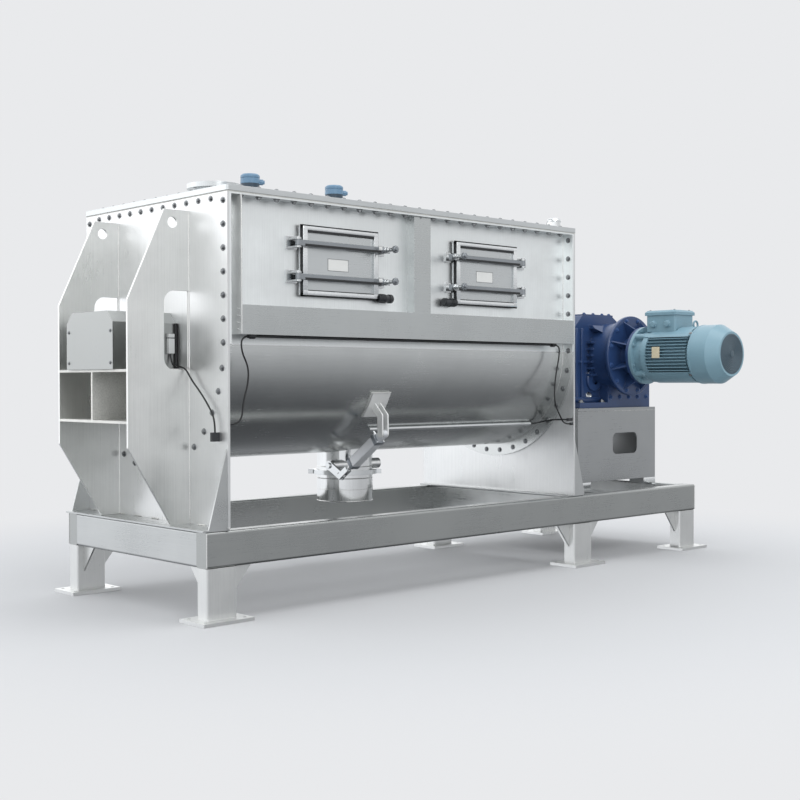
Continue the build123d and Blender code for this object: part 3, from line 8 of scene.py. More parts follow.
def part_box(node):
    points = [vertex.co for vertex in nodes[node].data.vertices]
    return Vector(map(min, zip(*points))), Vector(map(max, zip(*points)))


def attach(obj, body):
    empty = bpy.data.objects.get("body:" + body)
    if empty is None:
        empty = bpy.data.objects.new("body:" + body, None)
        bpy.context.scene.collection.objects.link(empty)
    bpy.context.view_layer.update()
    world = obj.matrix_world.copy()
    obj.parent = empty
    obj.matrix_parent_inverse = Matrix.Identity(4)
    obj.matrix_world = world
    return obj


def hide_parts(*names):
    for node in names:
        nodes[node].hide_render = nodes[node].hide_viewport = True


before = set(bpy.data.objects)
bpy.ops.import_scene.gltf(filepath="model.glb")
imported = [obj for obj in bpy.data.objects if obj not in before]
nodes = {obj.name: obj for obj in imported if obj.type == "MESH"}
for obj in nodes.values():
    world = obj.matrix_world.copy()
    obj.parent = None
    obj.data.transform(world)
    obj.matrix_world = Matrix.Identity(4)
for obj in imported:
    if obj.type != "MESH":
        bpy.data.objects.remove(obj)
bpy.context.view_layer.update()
collection = bpy.context.scene.collection

# Studio: a camera at standing height beside the left end, as in the photograph, and three softboxes.
# The world is brighter behind the left end and dark below the horizon, which is what the steel mirrors.
yaw, pitch, roll = radians(-43.14), radians(89.177), radians(-0.114)
camera = bpy.data.objects.new("camera", bpy.data.cameras.new("camera"))
camera.data.sensor_width = 36
camera.data.lens = 36 * 1260.54 / 800
camera.location = (-4.9599, -5.1471, 1.0512)
turn = Euler((0, 0, yaw)).to_matrix() @ Euler(
    (pitch, 0, 0)
).to_matrix() @ Euler((0, 0, roll)).to_matrix()
camera.rotation_euler = turn.to_euler()
camera.data.clip_end = 200
collection.objects.link(camera)
bpy.context.scene.camera = camera
bpy.context.scene.view_settings.view_transform = "Standard"
background = "#e9eaec"


def linear(code):
    """An sRGB hex colour as linear RGBA."""
    values = [int(code[i : i + 2], 16) / 255 for i in (1, 3, 5)]
    return [*(v / 12.92 if v <= 0.04045 else ((v + 0.055) / 1.055) ** 2.4 for v in values), 1]


def add(tree, kind, inputs=None, **settings):
    """A node with its settings; each input gets a value, or a link where it is given a socket."""
    node = tree.nodes.new(kind)
    for name, value in settings.items():
        setattr(node, name, value)
    for name, value in (inputs or {}).items():
        if isinstance(value, bpy.types.NodeSocket):
            tree.links.new(value, node.inputs[name])
        else:
            node.inputs[name].default_value = value
    return node


world = bpy.data.worlds.new("studio")
bpy.context.scene.world = world
world.use_nodes = True
tree = world.node_tree
tree.nodes.clear()
direction = add(tree, "ShaderNodeTexCoord").outputs["Generated"]
height = add(tree, "ShaderNodeSeparateXYZ", {"Vector": direction})
sky = add(
    tree,
    "ShaderNodeValToRGB",
    {
        "Fac": add(
            tree,
            "ShaderNodeMapRange",
            {"Value": height.outputs["Z"], "From Min": -1.0, "From Max": 1.0},
        ).outputs["Result"]
    },
)
ramp = sky.color_ramp.elements
ramp[0].position = 0.0
ramp[0].color = linear("#2b2c2e")
ramp[1].position = 1.0
ramp[1].color = linear("#e6e8ea")
for place, shade in (
    (0.15, "#55575a"), (0.25, "#7c7e81"), (0.35, "#a8aaad"), (0.45, "#c4c6c9"), (0.50, "#d4d6d9"),
    (0.56, "#f4f5f6"), (0.75, "#eceef0"),
):
    ramp.new(place).color = linear(shade)
side = add(
    tree, "ShaderNodeVectorMath", {0: direction, 1: (-0.7, 0.7, 0.0)}, operation="DOT_PRODUCT"
).outputs["Value"]
side_level = add(
    tree,
    "ShaderNodeMapRange",
    {"Value": side, "From Min": -1.0, "From Max": 1.0, "To Min": 1.0, "To Max": 2.05},
).outputs["Result"]
light_path = add(tree, "ShaderNodeLightPath")
level = add(
    tree,
    "ShaderNodeMix",
    {"Factor": light_path.outputs["Is Camera Ray"], "A": side_level, "B": 1.0},
    data_type="FLOAT",
)
shown = add(
    tree,
    "ShaderNodeMixRGB",
    {
        "Fac": light_path.outputs["Is Camera Ray"],
        "Color1": sky.outputs["Color"],
        "Color2": linear(background),
    },
)
lit = add(
    tree, "ShaderNodeBackground", {"Color": shown.outputs["Color"], "Strength": level.outputs["Result"]}
)
add(tree, "ShaderNodeOutputWorld", {"Surface": lit.outputs["Background"]})

for name, place, aim, size, power in (
    ("left_softbox", (-6.5, 4.5, 4.2), (-1.5, 0, 1.0), 4.0, 15),
    ("front_softbox", (-3.0, -7.5, 5.5), (0.2, 0, 1.0), 3.0, 130),
    ("top_softbox", (1.0, -2.0, 6.5), (0.5, 0, 1.2), 4.0, 100),
):
    lamp = bpy.data.objects.new(name, bpy.data.lights.new(name, "AREA"))
    lamp.data.shape = "SQUARE"
    lamp.data.size = size
    lamp.data.energy = power
    lamp.location = place
    lamp.rotation_euler = (Vector(aim) - Vector(place)).to_track_quat("-Z", "Y").to_euler()
    collection.objects.link(lamp)

# Floor: a matt grey sheet that fades into the background with its distance from the machine. It isn't
# mirrored in the steel, which would lighten the belly.
floor_mesh = bpy.data.meshes.new("studio_floor")
floor_mesh.from_pydata([(-60, -60, 0), (60, -60, 0), (60, 60, 0), (-60, 60, 0)], [], [(0, 1, 2, 3)])
studio_floor = bpy.data.objects.new("studio_floor", floor_mesh)
collection.objects.link(studio_floor)
studio_floor.visible_glossy = False
floor_paint = bpy.data.materials.new("studio_floor_paint")
floor_paint.use_nodes = True
tree = floor_paint.node_tree
matt = tree.nodes["Principled BSDF"]
matt.inputs["Base Color"].default_value = linear("#bdbec0")
matt.inputs["Roughness"].default_value = 0.9
far = add(
    tree,
    "ShaderNodeVectorMath",
    {0: add(tree, "ShaderNodeTexCoord").outputs["Object"]},
    operation="LENGTH",
)
fade = add(
    tree,
    "ShaderNodeMapRange",
    {"Value": far.outputs["Value"], "From Min": 2.2, "From Max": 4.2},
    interpolation_type="SMOOTHSTEP",
)
glow = add(tree, "ShaderNodeEmission", {"Color": linear(background), "Strength": 1.0})
mixed = add(
    tree,
    "ShaderNodeMixShader",
    {0: fade.outputs["Result"], 1: matt.outputs["BSDF"], 2: glow.outputs["Emission"]},
)
tree.links.new(mixed.outputs["Shader"], tree.nodes["Material Output"].inputs["Surface"])
floor_mesh.materials.append(floor_paint)

# Base frame: rails and legs of rectangular stainless tube, mill-finished and wiped over. Their corners
# are TIG welded, and each weld stands out as a rippled bead.


def steel(name, colour, roughness, grain, grain_mm, cloud=0.3, shade=0.10, bump=0.0003, metallic=1.0):
    """Rolled stainless. Fine lines run along one axis and show as streaks in the gloss, broad cloudy
    patches come from handling, and edges are broken by about 1.5 mm."""
    material = bpy.data.materials.new(name)
    material.use_nodes = True
    tree = material.node_tree
    shader = tree.nodes["Principled BSDF"]
    place = add(tree, "ShaderNodeTexCoord").outputs["Object"]
    across = 1000 / grain_mm
    stretch = [across, across, across]
    stretch["XYZ".index(grain)] = across / 60
    lines = add(tree, "ShaderNodeMapping", {"Vector": place, "Scale": stretch})
    streaks = add(
        tree,
        "ShaderNodeTexNoise",
        {"Vector": lines.outputs["Vector"], "Scale": 1.0, "Detail": 3.0, "Roughness": 0.6},
    )
    patches = add(
        tree, "ShaderNodeTexNoise", {"Vector": place, "Scale": 2.6, "Detail": 5.0, "Roughness": 0.6}
    )
    wide = add(tree, "ShaderNodeMath", {0: patches.outputs["Fac"], 1: 2.0}, operation="MULTIPLY")
    mixed = add(
        tree, "ShaderNodeMath", {0: streaks.outputs["Fac"], 1: wide.outputs["Value"]}, operation="ADD"
    )
    gloss = add(
        tree,
        "ShaderNodeMapRange",
        {
            "Value": mixed.outputs["Value"],
            "From Min": 1.1,
            "From Max": 1.9,
            "To Min": roughness * (1 - cloud),
            "To Max": roughness * (1 + cloud),
        },
    )
    tree.links.new(gloss.outputs["Result"], shader.inputs["Roughness"])
    tone = add(
        tree,
        "ShaderNodeMapRange",
        {
            "Value": mixed.outputs["Value"],
            "From Min": 1.1,
            "From Max": 1.9,
            "To Min": 1 - shade,
            "To Max": 1 + 0.5 * shade,
        },
    )
    tinted = add(
        tree,
        "ShaderNodeMixRGB",
        {"Fac": 1.0, "Color1": linear(colour), "Color2": tone.outputs["Result"]},
        blend_type="MULTIPLY",
    )
    tree.links.new(tinted.outputs["Color"], shader.inputs["Base Color"])
    edge = add(tree, "ShaderNodeBevel", {"Radius": 0.0015}, samples=4)
    relief = add(
        tree,
        "ShaderNodeBump",
        {
            "Height": streaks.outputs["Fac"],
            "Strength": 0.2,
            "Distance": bump,
            "Normal": edge.outputs["Normal"],
        },
    )
    tree.links.new(relief.outputs["Normal"], shader.inputs["Normal"])
    shader.inputs["Metallic"].default_value = metallic
    return material


def dress(material, *names):
    """Gives CAD nodes one material."""
    for name in names:
        nodes[name].data.materials.clear()
        nodes[name].data.materials.append(material)


def bead(bm, points, radius):
    """A weld bead along a route: a round seam with the ripples that a filler rod leaves."""
    points = [Vector(p) for p in points]
    ripple, around = 0.007, 6
    for start, end in zip(points, points[1:]):
        along = (end - start).normalized()
        turned_to = Vector((0, 0, 1)).rotation_difference(along).to_matrix()
        count = max(2, round((end - start).length / ripple))
        rings = []
        for step in range(count + 1):
            swell = radius * (1.12 if step % 2 else 0.88)
            centre = start + (end - start) * step / count
            rings.append(
                [
                    bm.verts.new(
                        centre + turned_to @ Vector(
                            (swell * cos(2 * pi * i / around), swell * sin(2 * pi * i / around), 0)
                        )
                    )
                    for i in range(around)
                ]
            )
        for low, high in zip(rings, rings[1:]):
            for i in range(around):
                bm.faces.new((low[i], low[(i + 1) % around], high[(i + 1) % around], high[i]))
        bm.faces.new(reversed(rings[0]))
        bm.faces.new(rings[-1])


def finished(name, bm, material, body="machine", stands_for=()):
    """The mesh as a named piece that rides on a body, smooth except at edges over 35 degrees."""
    bmesh.ops.recalc_face_normals(bm, faces=bm.faces)
    mesh = bpy.data.meshes.new(name)
    bm.to_mesh(mesh)
    bm.free()
    mesh.shade_smooth()
    mesh.set_sharp_from_angle(angle=radians(35))
    mesh.materials.append(material)
    piece = bpy.data.objects.new(name, mesh)
    collection.objects.link(piece)
    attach(piece, body)
    if stands_for:
        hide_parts(*stands_for)
    return piece


rail_steel = steel("mill_finished_tube_steel", "#a6a8a7", 0.30, "X", 3.0, shade=0.05)
cross_steel = steel("mill_finished_cross_tube_steel", "#bcbebe", 0.32, "Y", 3.0)
leg_steel = steel("mill_finished_leg_steel", "#d6d7d6", 0.34, "Z", 3.0)
weld_steel = steel("tig_weld_bead", "#dcdcda", 0.28, "Z", 4.0, shade=0.2)
dress(rail_steel, "side_rails")
dress(cross_steel, "cross_rails")
dress(leg_steel, "legs", "leg_gussets")
rails_low, rails_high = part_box("side_rails")
frame_top, frame_bottom = rails_high[2], rails_low[2]
bm = bmesh.new()
for x in (rails_low[0], rails_high[0]):
    for y in (rails_low[1], rails_high[1]):
        bead(bm, [(x, y, frame_bottom + 0.004), (x, y, frame_top - 0.004)], 0.0025)
finished("frame_corner_welds", bm, weld_steel)

# Trough: a U of rolled sheet between flat end plates. Its walls are matt from the grinding of the welds,
# and its rolled belly is smoother and mirrors the dark floor. The belly is also given a darker colour
# than the walls, which is painted shade.
wall_steel = steel("trough_wall_steel", "#eff2f2", 0.42, "Z", 5.0, cloud=0.2, shade=0.12)
# The belly's colour is darker than the walls', which is painted shade; its lower roughness is its own
# finish.
belly_steel_painted_shade = steel("rolled_belly_steel_painted_shade", "#cfd1d0", 0.24, "X", 3.0, cloud=0.2, shade=0.06)
plate_steel = steel("end_plate_steel", "#dddede", 0.36, "Z", 6.0, shade=0.10)
# The same bright steel makes the slabs at the door bar ends, which are painted highlights.
ground_steel_and_painted_highlight = steel("ground_flat_bar_and_painted_highlight_steel", "#e4e5e4", 0.38, "Z", 3.0, metallic=0.6)
beam_steel = steel("box_beam_steel", "#bcbfbf", 0.30, "X", 3.0, shade=0.08)
dress(wall_steel, "trough_shell")
nodes["trough_shell"].data.materials.append(belly_steel_painted_shade)
wall_foot = 1.225
for face in nodes["trough_shell"].data.polygons:
    face.material_index = int(face.center.z < wall_foot)
dress(plate_steel, "left_end_plate", "right_end_plate")
dress(beam_steel, "side_beams")
dress(cross_steel, "plate_feet")
shell_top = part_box("trough_shell")[1][2]
left_low, left_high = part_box("left_end_plate")
right_low, right_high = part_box("right_end_plate")
beam_low, beam_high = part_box("side_beams")
rim_thickness = 0.010
left_face, rim_left = left_low[0], left_high[0] + rim_thickness
rim_right, right_face = right_low[0] - rim_thickness, right_high[0]
wall_y, axis_z, bolt_radius, bracket_y = 0.540, 1.220, 0.578, 0.306

# Fasteners: each point gets a hexagon head with its washer and the tip of its bolt, zinc-plated and
# turned by chance about its axis, as a wrench leaves it.
fasteners = bpy.data.node_groups.new("hex_fasteners", "GeometryNodeTree")
for socket, kind in (
    ("Geometry", "Geometry"), ("Radius", "Float"), ("Height", "Float"), ("Seed", "Int"),
    ("Material", "Material"),
):
    fasteners.interface.new_socket(socket, in_out="INPUT", socket_type=f"NodeSocket{kind}")
fasteners.interface.new_socket("Geometry", in_out="OUTPUT", socket_type="NodeSocketGeometry")
given = fasteners.nodes.new("NodeGroupInput")
radius, height = given.outputs["Radius"], given.outputs["Height"]
washer_radius = add(
    fasteners, "ShaderNodeMath", {0: radius, 1: 1.45}, operation="MULTIPLY"
).outputs["Value"]
washer_height = add(
    fasteners, "ShaderNodeMath", {0: height, 1: 0.5}, operation="MULTIPLY"
).outputs["Value"]
tip_radius = add(
    fasteners, "ShaderNodeMath", {0: radius, 1: 0.55}, operation="MULTIPLY"
).outputs["Value"]
tip_height = add(
    fasteners, "ShaderNodeMath", {0: height, 1: 2.7}, operation="MULTIPLY"
).outputs["Value"]
hexagon = add(
    fasteners,
    "GeometryNodeMeshCylinder",
    {
        "Vertices": 6,
        "Radius": radius,
        "Depth": add(
            fasteners, "ShaderNodeMath", {0: height, 1: 2.0}, operation="MULTIPLY"
        ).outputs["Value"],
    },
)
washer = add(
    fasteners,
    "GeometryNodeMeshCylinder",
    {"Vertices": 12, "Radius": washer_radius, "Depth": washer_height},
)
tip = add(
    fasteners, "GeometryNodeMeshCylinder", {"Vertices": 8, "Radius": tip_radius, "Depth": tip_height}
)
head = add(fasteners, "GeometryNodeJoinGeometry")
for shape in (hexagon, washer, tip):
    fasteners.links.new(shape.outputs["Mesh"], head.inputs["Geometry"])
outward = add(
    fasteners, "GeometryNodeInputNamedAttribute", {"Name": "outward"}, data_type="FLOAT_VECTOR"
).outputs["Attribute"]
aimed = add(fasteners, "FunctionNodeAlignRotationToVector", {"Vector": outward}, axis="Z")
spin = add(
    fasteners,
    "FunctionNodeRandomValue",
    {2: 0.0, 3: 6.28, "Seed": given.outputs["Seed"]},
    data_type="FLOAT",
)
local_turn = add(
    fasteners, "FunctionNodeAxisAngleToRotation", {"Axis": (0, 0, 1), "Angle": spin.outputs[1]}
)
turned_head = add(
    fasteners,
    "FunctionNodeRotateRotation",
    {"Rotation": aimed.outputs["Rotation"], "Rotate By": local_turn.outputs["Rotation"]},
    rotation_space="LOCAL",
)
placed = add(
    fasteners,
    "GeometryNodeInstanceOnPoints",
    {
        "Points": given.outputs["Geometry"],
        "Instance": head.outputs["Geometry"],
        "Rotation": turned_head.outputs["Rotation"],
    },
)
real = add(fasteners, "GeometryNodeRealizeInstances", {"Geometry": placed.outputs["Instances"]})
coated = add(
    fasteners,
    "GeometryNodeSetMaterial",
    {"Geometry": real.outputs["Geometry"], "Material": given.outputs["Material"]},
)
fasteners.links.new(
    coated.outputs["Geometry"], fasteners.nodes.new("NodeGroupOutput").inputs["Geometry"]
)


def fasten(name, places, ways, radius, height, material):
    """Hex heads with washers and bolt tips at the places, each with its axis along its way."""
    mesh = bpy.data.meshes.new(name)
    mesh.from_pydata(places, [], [])
    attribute = mesh.attributes.new("outward", "FLOAT_VECTOR", "POINT")
    for item, way in zip(attribute.data, ways if isinstance(ways, list) else [ways] * len(places)):
        item.vector = way
    piece = bpy.data.objects.new(name, mesh)
    collection.objects.link(piece)
    modifier = piece.modifiers.new("fasteners", "NODES")
    modifier.node_group = fasteners
    for socket in fasteners.interface.items_tree:
        if socket.in_out == "INPUT" and socket.name != "Geometry":
            modifier[socket.identifier] = {
                "Radius": radius, "Height": height, "Seed": 7, "Material": material
            }[socket.name]
    view = bpy.context.evaluated_depsgraph_get()
    real_mesh = bpy.data.meshes.new_from_object(piece.evaluated_get(view))
    piece.modifiers.clear()
    piece.data = real_mesh
    real_mesh.name = name
    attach(piece, "machine")


# Bolts clamp each end plate to the rim of the trough, with nuts behind: down both sides, then round the
# belly. The two that the lifting brackets would cover are left out.
bolt_steel = steel("zinc_bright_bolt_steel", "#8f9193", 0.30, "Z", 8.0, shade=0.15)
bolt_pitch, first_bolt_z = 0.104, 1.850
side_bolts = int((first_bolt_z - axis_z) / bolt_pitch) + 1
arc_bolts = round(pi * bolt_radius / bolt_pitch)
bolt_circle = [
    (y, first_bolt_z - bolt_pitch * i) for y in (-bolt_radius, bolt_radius) for i in range(side_bolts)
]
bolt_circle += [
    (bolt_radius * cos(pi * i / arc_bolts), axis_z - bolt_radius * sin(pi * i / arc_bolts))
    for i in range(1, arc_bolts)
]
bolt_circle = [(y, z) for y, z in bolt_circle if abs(abs(y) - bracket_y) > 0.03]
for name, x, way in (
    ("left_plate_bolts", left_face, -1),
    ("left_rim_nuts", rim_left, 1),
    ("right_rim_nuts", rim_right, -1),
    ("right_plate_bolts", right_face, 1),
):
    fasten(name, [(x, y, z) for y, z in bolt_circle], (way, 0, 0), 0.0105, 0.008, bolt_steel)


def slab(bm, low, high, bevel=0.0, segments=2):
    """A box between two corners with rounded edges; gives its vertices back so that it can be turned."""
    before = set(bm.verts)
    made = bmesh.ops.create_cube(bm, size=1.0)["verts"]
    for vertex in made:
        vertex.co = [lo + (c + 0.5) * (hi - lo) for c, lo, hi in zip(vertex.co, low, high)]
    if bevel:
        bmesh.ops.bevel(
            bm,
            geom=list(dict.fromkeys(e for v in made for e in v.link_edges)),
            offset=bevel,
            segments=segments,
            profile=0.5,
            affect="EDGES",
        )
    return [v for v in bm.verts if v not in before]


# Welds on the trough: rims to shell, the feet of the left end plate in short stitches, and the corner
# of the front beam.
bm = bmesh.new()
for y in (-1, 1):
    for x, way in ((rim_left, 1), (rim_right, -1)):
        arc = [
            (x, y * wall_y * cos(a * pi / 24), axis_z - wall_y * sin(a * pi / 24)) for a in range(13)
        ]
        bead(bm, [(x, y * wall_y, shell_top - 0.02), *arc], 0.0022)
for x in (left_face, left_high[0]):
    for y0 in (-0.56, -0.44, -0.20, -0.05, 0.10, 0.25, 0.40, 0.52):
        bead(bm, [(x, y0, frame_top + 0.010), (x, y0 + 0.06, frame_top + 0.010)], 0.0035)
for y in (left_low[1], left_high[1]):
    bead(bm, [(left_face, y, frame_top + 0.010), (left_high[0], y, frame_top + 0.010)], 0.003)
bead(
    bm,
    [(beam_low[0], beam_low[1], beam_low[2] + 0.004), (beam_low[0], beam_low[1], beam_high[2] - 0.004)],
    0.002,
)
finished("trough_welds", bm, weld_steel)

# End plate of the front beam: flat bar, ground bright and closing the folded section, with the stops of
# four weld passes on its face.
bm = bmesh.new()
slab(
    bm,
    (beam_low[0] - 0.003, beam_low[1] + 0.001, beam_low[2] + 0.001),
    (beam_low[0] + 0.001, -wall_y - 0.001, beam_high[2] - 0.001),
    0.0015,
)
for z in (0.02, 0.05, 0.08, 0.11):
    bead(
        bm,
        [
            (beam_low[0] - 0.003, beam_low[1] + 0.010, beam_low[2] + z),
            (beam_low[0] - 0.003, beam_low[1] + 0.030, beam_low[2] + z + 0.004),
        ],
        0.003,
    )
finished("beam_end_plate", bm, ground_steel_and_painted_highlight)

# Lid: a flat sheet on a border frame, bolted down over a pale gasket, with a flanged fill neck. Its
# bolts run along both edges and across both ends, with nuts under the rim.
lid_steel = steel("lid_band_steel", "#c9cccd", 0.34, "X", 4.0)
dress(lid_steel, "lid", "fill_neck")
lid_low, lid_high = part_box("lid")
lid_pitch, lid_bolt_y, lid_edge_x = 0.100, 0.587, 0.030
lid_xs = [
    lid_low[0] + 0.094 + lid_pitch * i for i in range(int((lid_high[0] - lid_low[0] - 0.1) / lid_pitch))
]
lid_ys = [-0.485 + 0.097 * i for i in range(11)]
lid_top_places = [(x, y, lid_high[2]) for x in lid_xs for y in (-lid_bolt_y, lid_bolt_y)]
lid_top_places += [
    (x, y, lid_high[2]) for x in (lid_low[0] + lid_edge_x, lid_high[0] - lid_edge_x) for y in lid_ys
]
fasten("lid_bolts", lid_top_places, (0, 0, 1), 0.010, 0.007, bolt_steel)
fasten(
    "lid_nuts",
    [
        (x, y, shell_top - 0.008)
        for x in lid_xs
        for y in (-lid_bolt_y, lid_bolt_y)
        if abs(x - rim_left) > 0.03
    ],
    (0, 0, -1),
    0.011,
    0.010,
    bolt_steel,
)
fasten(
    "left_top_bolts",
    [(left_face, y, left_high[2] - 0.022) for y in lid_ys],
    (-1, 0, 0),
    0.010,
    0.007,
    bolt_steel,
)


def turned(bm, profile, place, axis, steps=32):
    """A profile of (radius, height) pairs turned about an axis through place."""
    turn = Vector((0, 0, 1)).rotation_difference(Vector(axis)).to_matrix()
    rings = []
    for radius, height in profile:
        count = steps if radius else 1
        rings.append(
            [
                bm.verts.new(
                    Vector(place) + turn @ Vector(
                        (radius * cos(2 * pi * i / steps), radius * sin(2 * pi * i / steps), height)
                    )
                )
                for i in range(count)
            ]
        )
    for low, high in zip(rings, rings[1:]):
        for i in range(steps):
            corners = (
                low[i % len(low)],
                low[(i + 1) % len(low)],
                high[(i + 1) % len(high)],
                high[i % len(high)],
            )
            bm.faces.new(dict.fromkeys(corners))


def paint(name, colour, roughness, mottle=0.06, metallic=0.0, peel_mm=8, edge_mm=2.0):
    """Sprayed enamel on castings, or moulded plastic: an even colour with a slight orange peel, and
    soft cast edges."""
    material = bpy.data.materials.new(name)
    material.use_nodes = True
    tree = material.node_tree
    shader = tree.nodes["Principled BSDF"]
    place = add(tree, "ShaderNodeTexCoord").outputs["Object"]
    peel = add(tree, "ShaderNodeTexNoise", {"Vector": place, "Scale": 1000 / peel_mm, "Detail": 2.0})
    patches = add(tree, "ShaderNodeTexNoise", {"Vector": place, "Scale": 6.0, "Detail": 3.0})
    tone = add(
        tree,
        "ShaderNodeMapRange",
        {
            "Value": patches.outputs["Fac"],
            "From Min": 0.3,
            "From Max": 0.7,
            "To Min": 1 - mottle,
            "To Max": 1 + mottle,
        },
    )
    tinted = add(
        tree,
        "ShaderNodeMixRGB",
        {"Fac": 1.0, "Color1": linear(colour), "Color2": tone.outputs["Result"]},
        blend_type="MULTIPLY",
    )
    tree.links.new(tinted.outputs["Color"], shader.inputs["Base Color"])
    edge = add(tree, "ShaderNodeBevel", {"Radius": edge_mm / 1000}, samples=4)
    relief = add(
        tree,
        "ShaderNodeBump",
        {
            "Height": peel.outputs["Fac"],
            "Strength": 0.3,
            "Distance": 0.0003,
            "Normal": edge.outputs["Normal"],
        },
    )
    tree.links.new(relief.outputs["Normal"], shader.inputs["Normal"])
    shader.inputs["Roughness"].default_value = roughness
    shader.inputs["Metallic"].default_value = metallic
    return material


# Lid fittings: two level probes with enamelled heads on hexagonal stems, a small purge fitting and a
# steel breather dome. All are turned parts, screwed into the lid.
probe_enamel = paint("probe_head_enamel", "#5f7f99", 0.35)
band_enamel = paint("probe_band_enamel", "#33424f", 0.4)
polished_steel = steel("polished_fitting_steel", "#d6d8d9", 0.16, "Z", 3.0, shade=0.06, bump=0.0001)
probe_xs, probe_y = (-1.387, -0.868), -0.300
purge_x = probe_xs[0] + 0.085
vent_x, vent_y = 0.560, -0.533
heads, bands, stems = bmesh.new(), bmesh.new(), bmesh.new()
for x in probe_xs:
    base = (x, probe_y, lid_high[2])
    turned(
        stems,
        [(0, 0), (0.026, 0), (0.026, 0.012), (0.022, 0.014), (0.014, 0.014), (0.014, 0.053)],
        base,
        (0, 0, 1),
        6,
    )
    turned(
        stems,
        [(0.014, 0.014), (0.018, 0.014), (0.018, 0.030), (0.014, 0.032), (0.014, 0.054)],
        base,
        (0, 0, 1),
        24,
    )
    turned(
        bands,
        [(0, 0.053), (0.042, 0.053), (0.044, 0.056), (0.044, 0.072), (0, 0.072)],
        base,
        (0, 0, 1),
        40,
    )
    turned(
        heads,
        [
            (0, 0.072), (0.046, 0.072), (0.046, 0.096), (0.044, 0.097), (0.044, 0.099), (0.046, 0.100),
            (0.046, 0.110), (0.039, 0.117), (0, 0.117),
        ],
        base,
        (0, 0, 1),
        40,
    )
    turned(
        heads,
        [(0, 0), (0.014, 0), (0.014, 0.020), (0.010, 0.022), (0.010, 0.028), (0, 0.028)],
        (x + 0.036, probe_y - 0.018, lid_high[2] + 0.082),
        (0.9, -0.44, 0),
        12,
    )
turned(
    stems,
    [
        (0, 0), (0.024, 0), (0.024, 0.012), (0.016, 0.014), (0.016, 0.030), (0.021, 0.032),
        (0.021, 0.046), (0.012, 0.052), (0, 0.052),
    ],
    (purge_x, probe_y, lid_high[2]),
    (0, 0, 1),
    20,
)
turned(
    stems,
    [
        (0, 0), (0.041, 0), (0.041, 0.006), (0.038, 0.010), (0.038, 0.034), (0.041, 0.036),
        (0.040, 0.044), (0.033, 0.053), (0.020, 0.059), (0, 0.060),
    ],
    (vent_x, vent_y, lid_high[2]),
    (0, 0, 1),
    40,
)
finished("probe_heads", heads, probe_enamel, stands_for=("lid_fittings",))
finished("probe_bands", bands, band_enamel)
finished("lid_fitting_steel", stems, polished_steel)

# Wire beside the breather dome: a thin steel arc that stands on the lid. The photograph shows only
# its curve.
bm = bmesh.new()
wire_arc = [
    (
        vent_x - 0.055 + 0.035 * cos(pi * i / 8),
        vent_y - 0.02,
        lid_high[2] + 0.001 + 0.045 * sin(pi * i / 8),
    )
    for i in range(9)
]
bead(bm, wire_arc, 0.0015)
finished("breather_wire", bm, bolt_steel)


# Doors: a shallow pressed pan with hemmed edges over a gasket, held by two enamelled clamp bars. Hinge
# lugs and pins are bright steel, and the sticker on each pan is blank.
door_steel = steel("door_pan_steel", "#c6c9ca", 0.30, "X", 3.0, shade=0.08)
rim_steel = steel("door_rim_steel", "#e2e4e5", 0.26, "X", 3.0)
lug_steel = steel("hinge_lug_steel", "#c9cbcc", 0.22, "Z", 3.0)
bar_enamel = paint("hammered_grey_bar", "#8d9195", 0.24, metallic=0.85, edge_mm=4.0)
# Flat black that stands in for shade: the strips in the door grooves and round the doors, under the
# clamp bars and along the bearing cover's edges are painted shade.
painted_shade_black = paint("painted_shadow_black", "#1b1c1e", 0.6)
sticker_film = paint("blank_sticker_film", "#d4d5d3", 0.45, mottle=0.02)
sticker_ink = paint("blank_sticker_border", "#77797b", 0.5)
dress(door_steel, "door_1_panel", "door_2_panel")
dress(rim_steel, "door_frames")
dress(bar_enamel, "door_1_bars", "door_2_bars")
dress(lug_steel, "door_lugs", "hinge_pins")
sticker_left, sticker_right, sticker_low, sticker_high = -0.078, 0.051, -0.040, 0.018
rim_width, hem, lip, bar_spacing = 0.026, 0.0045, 0.007, 0.078
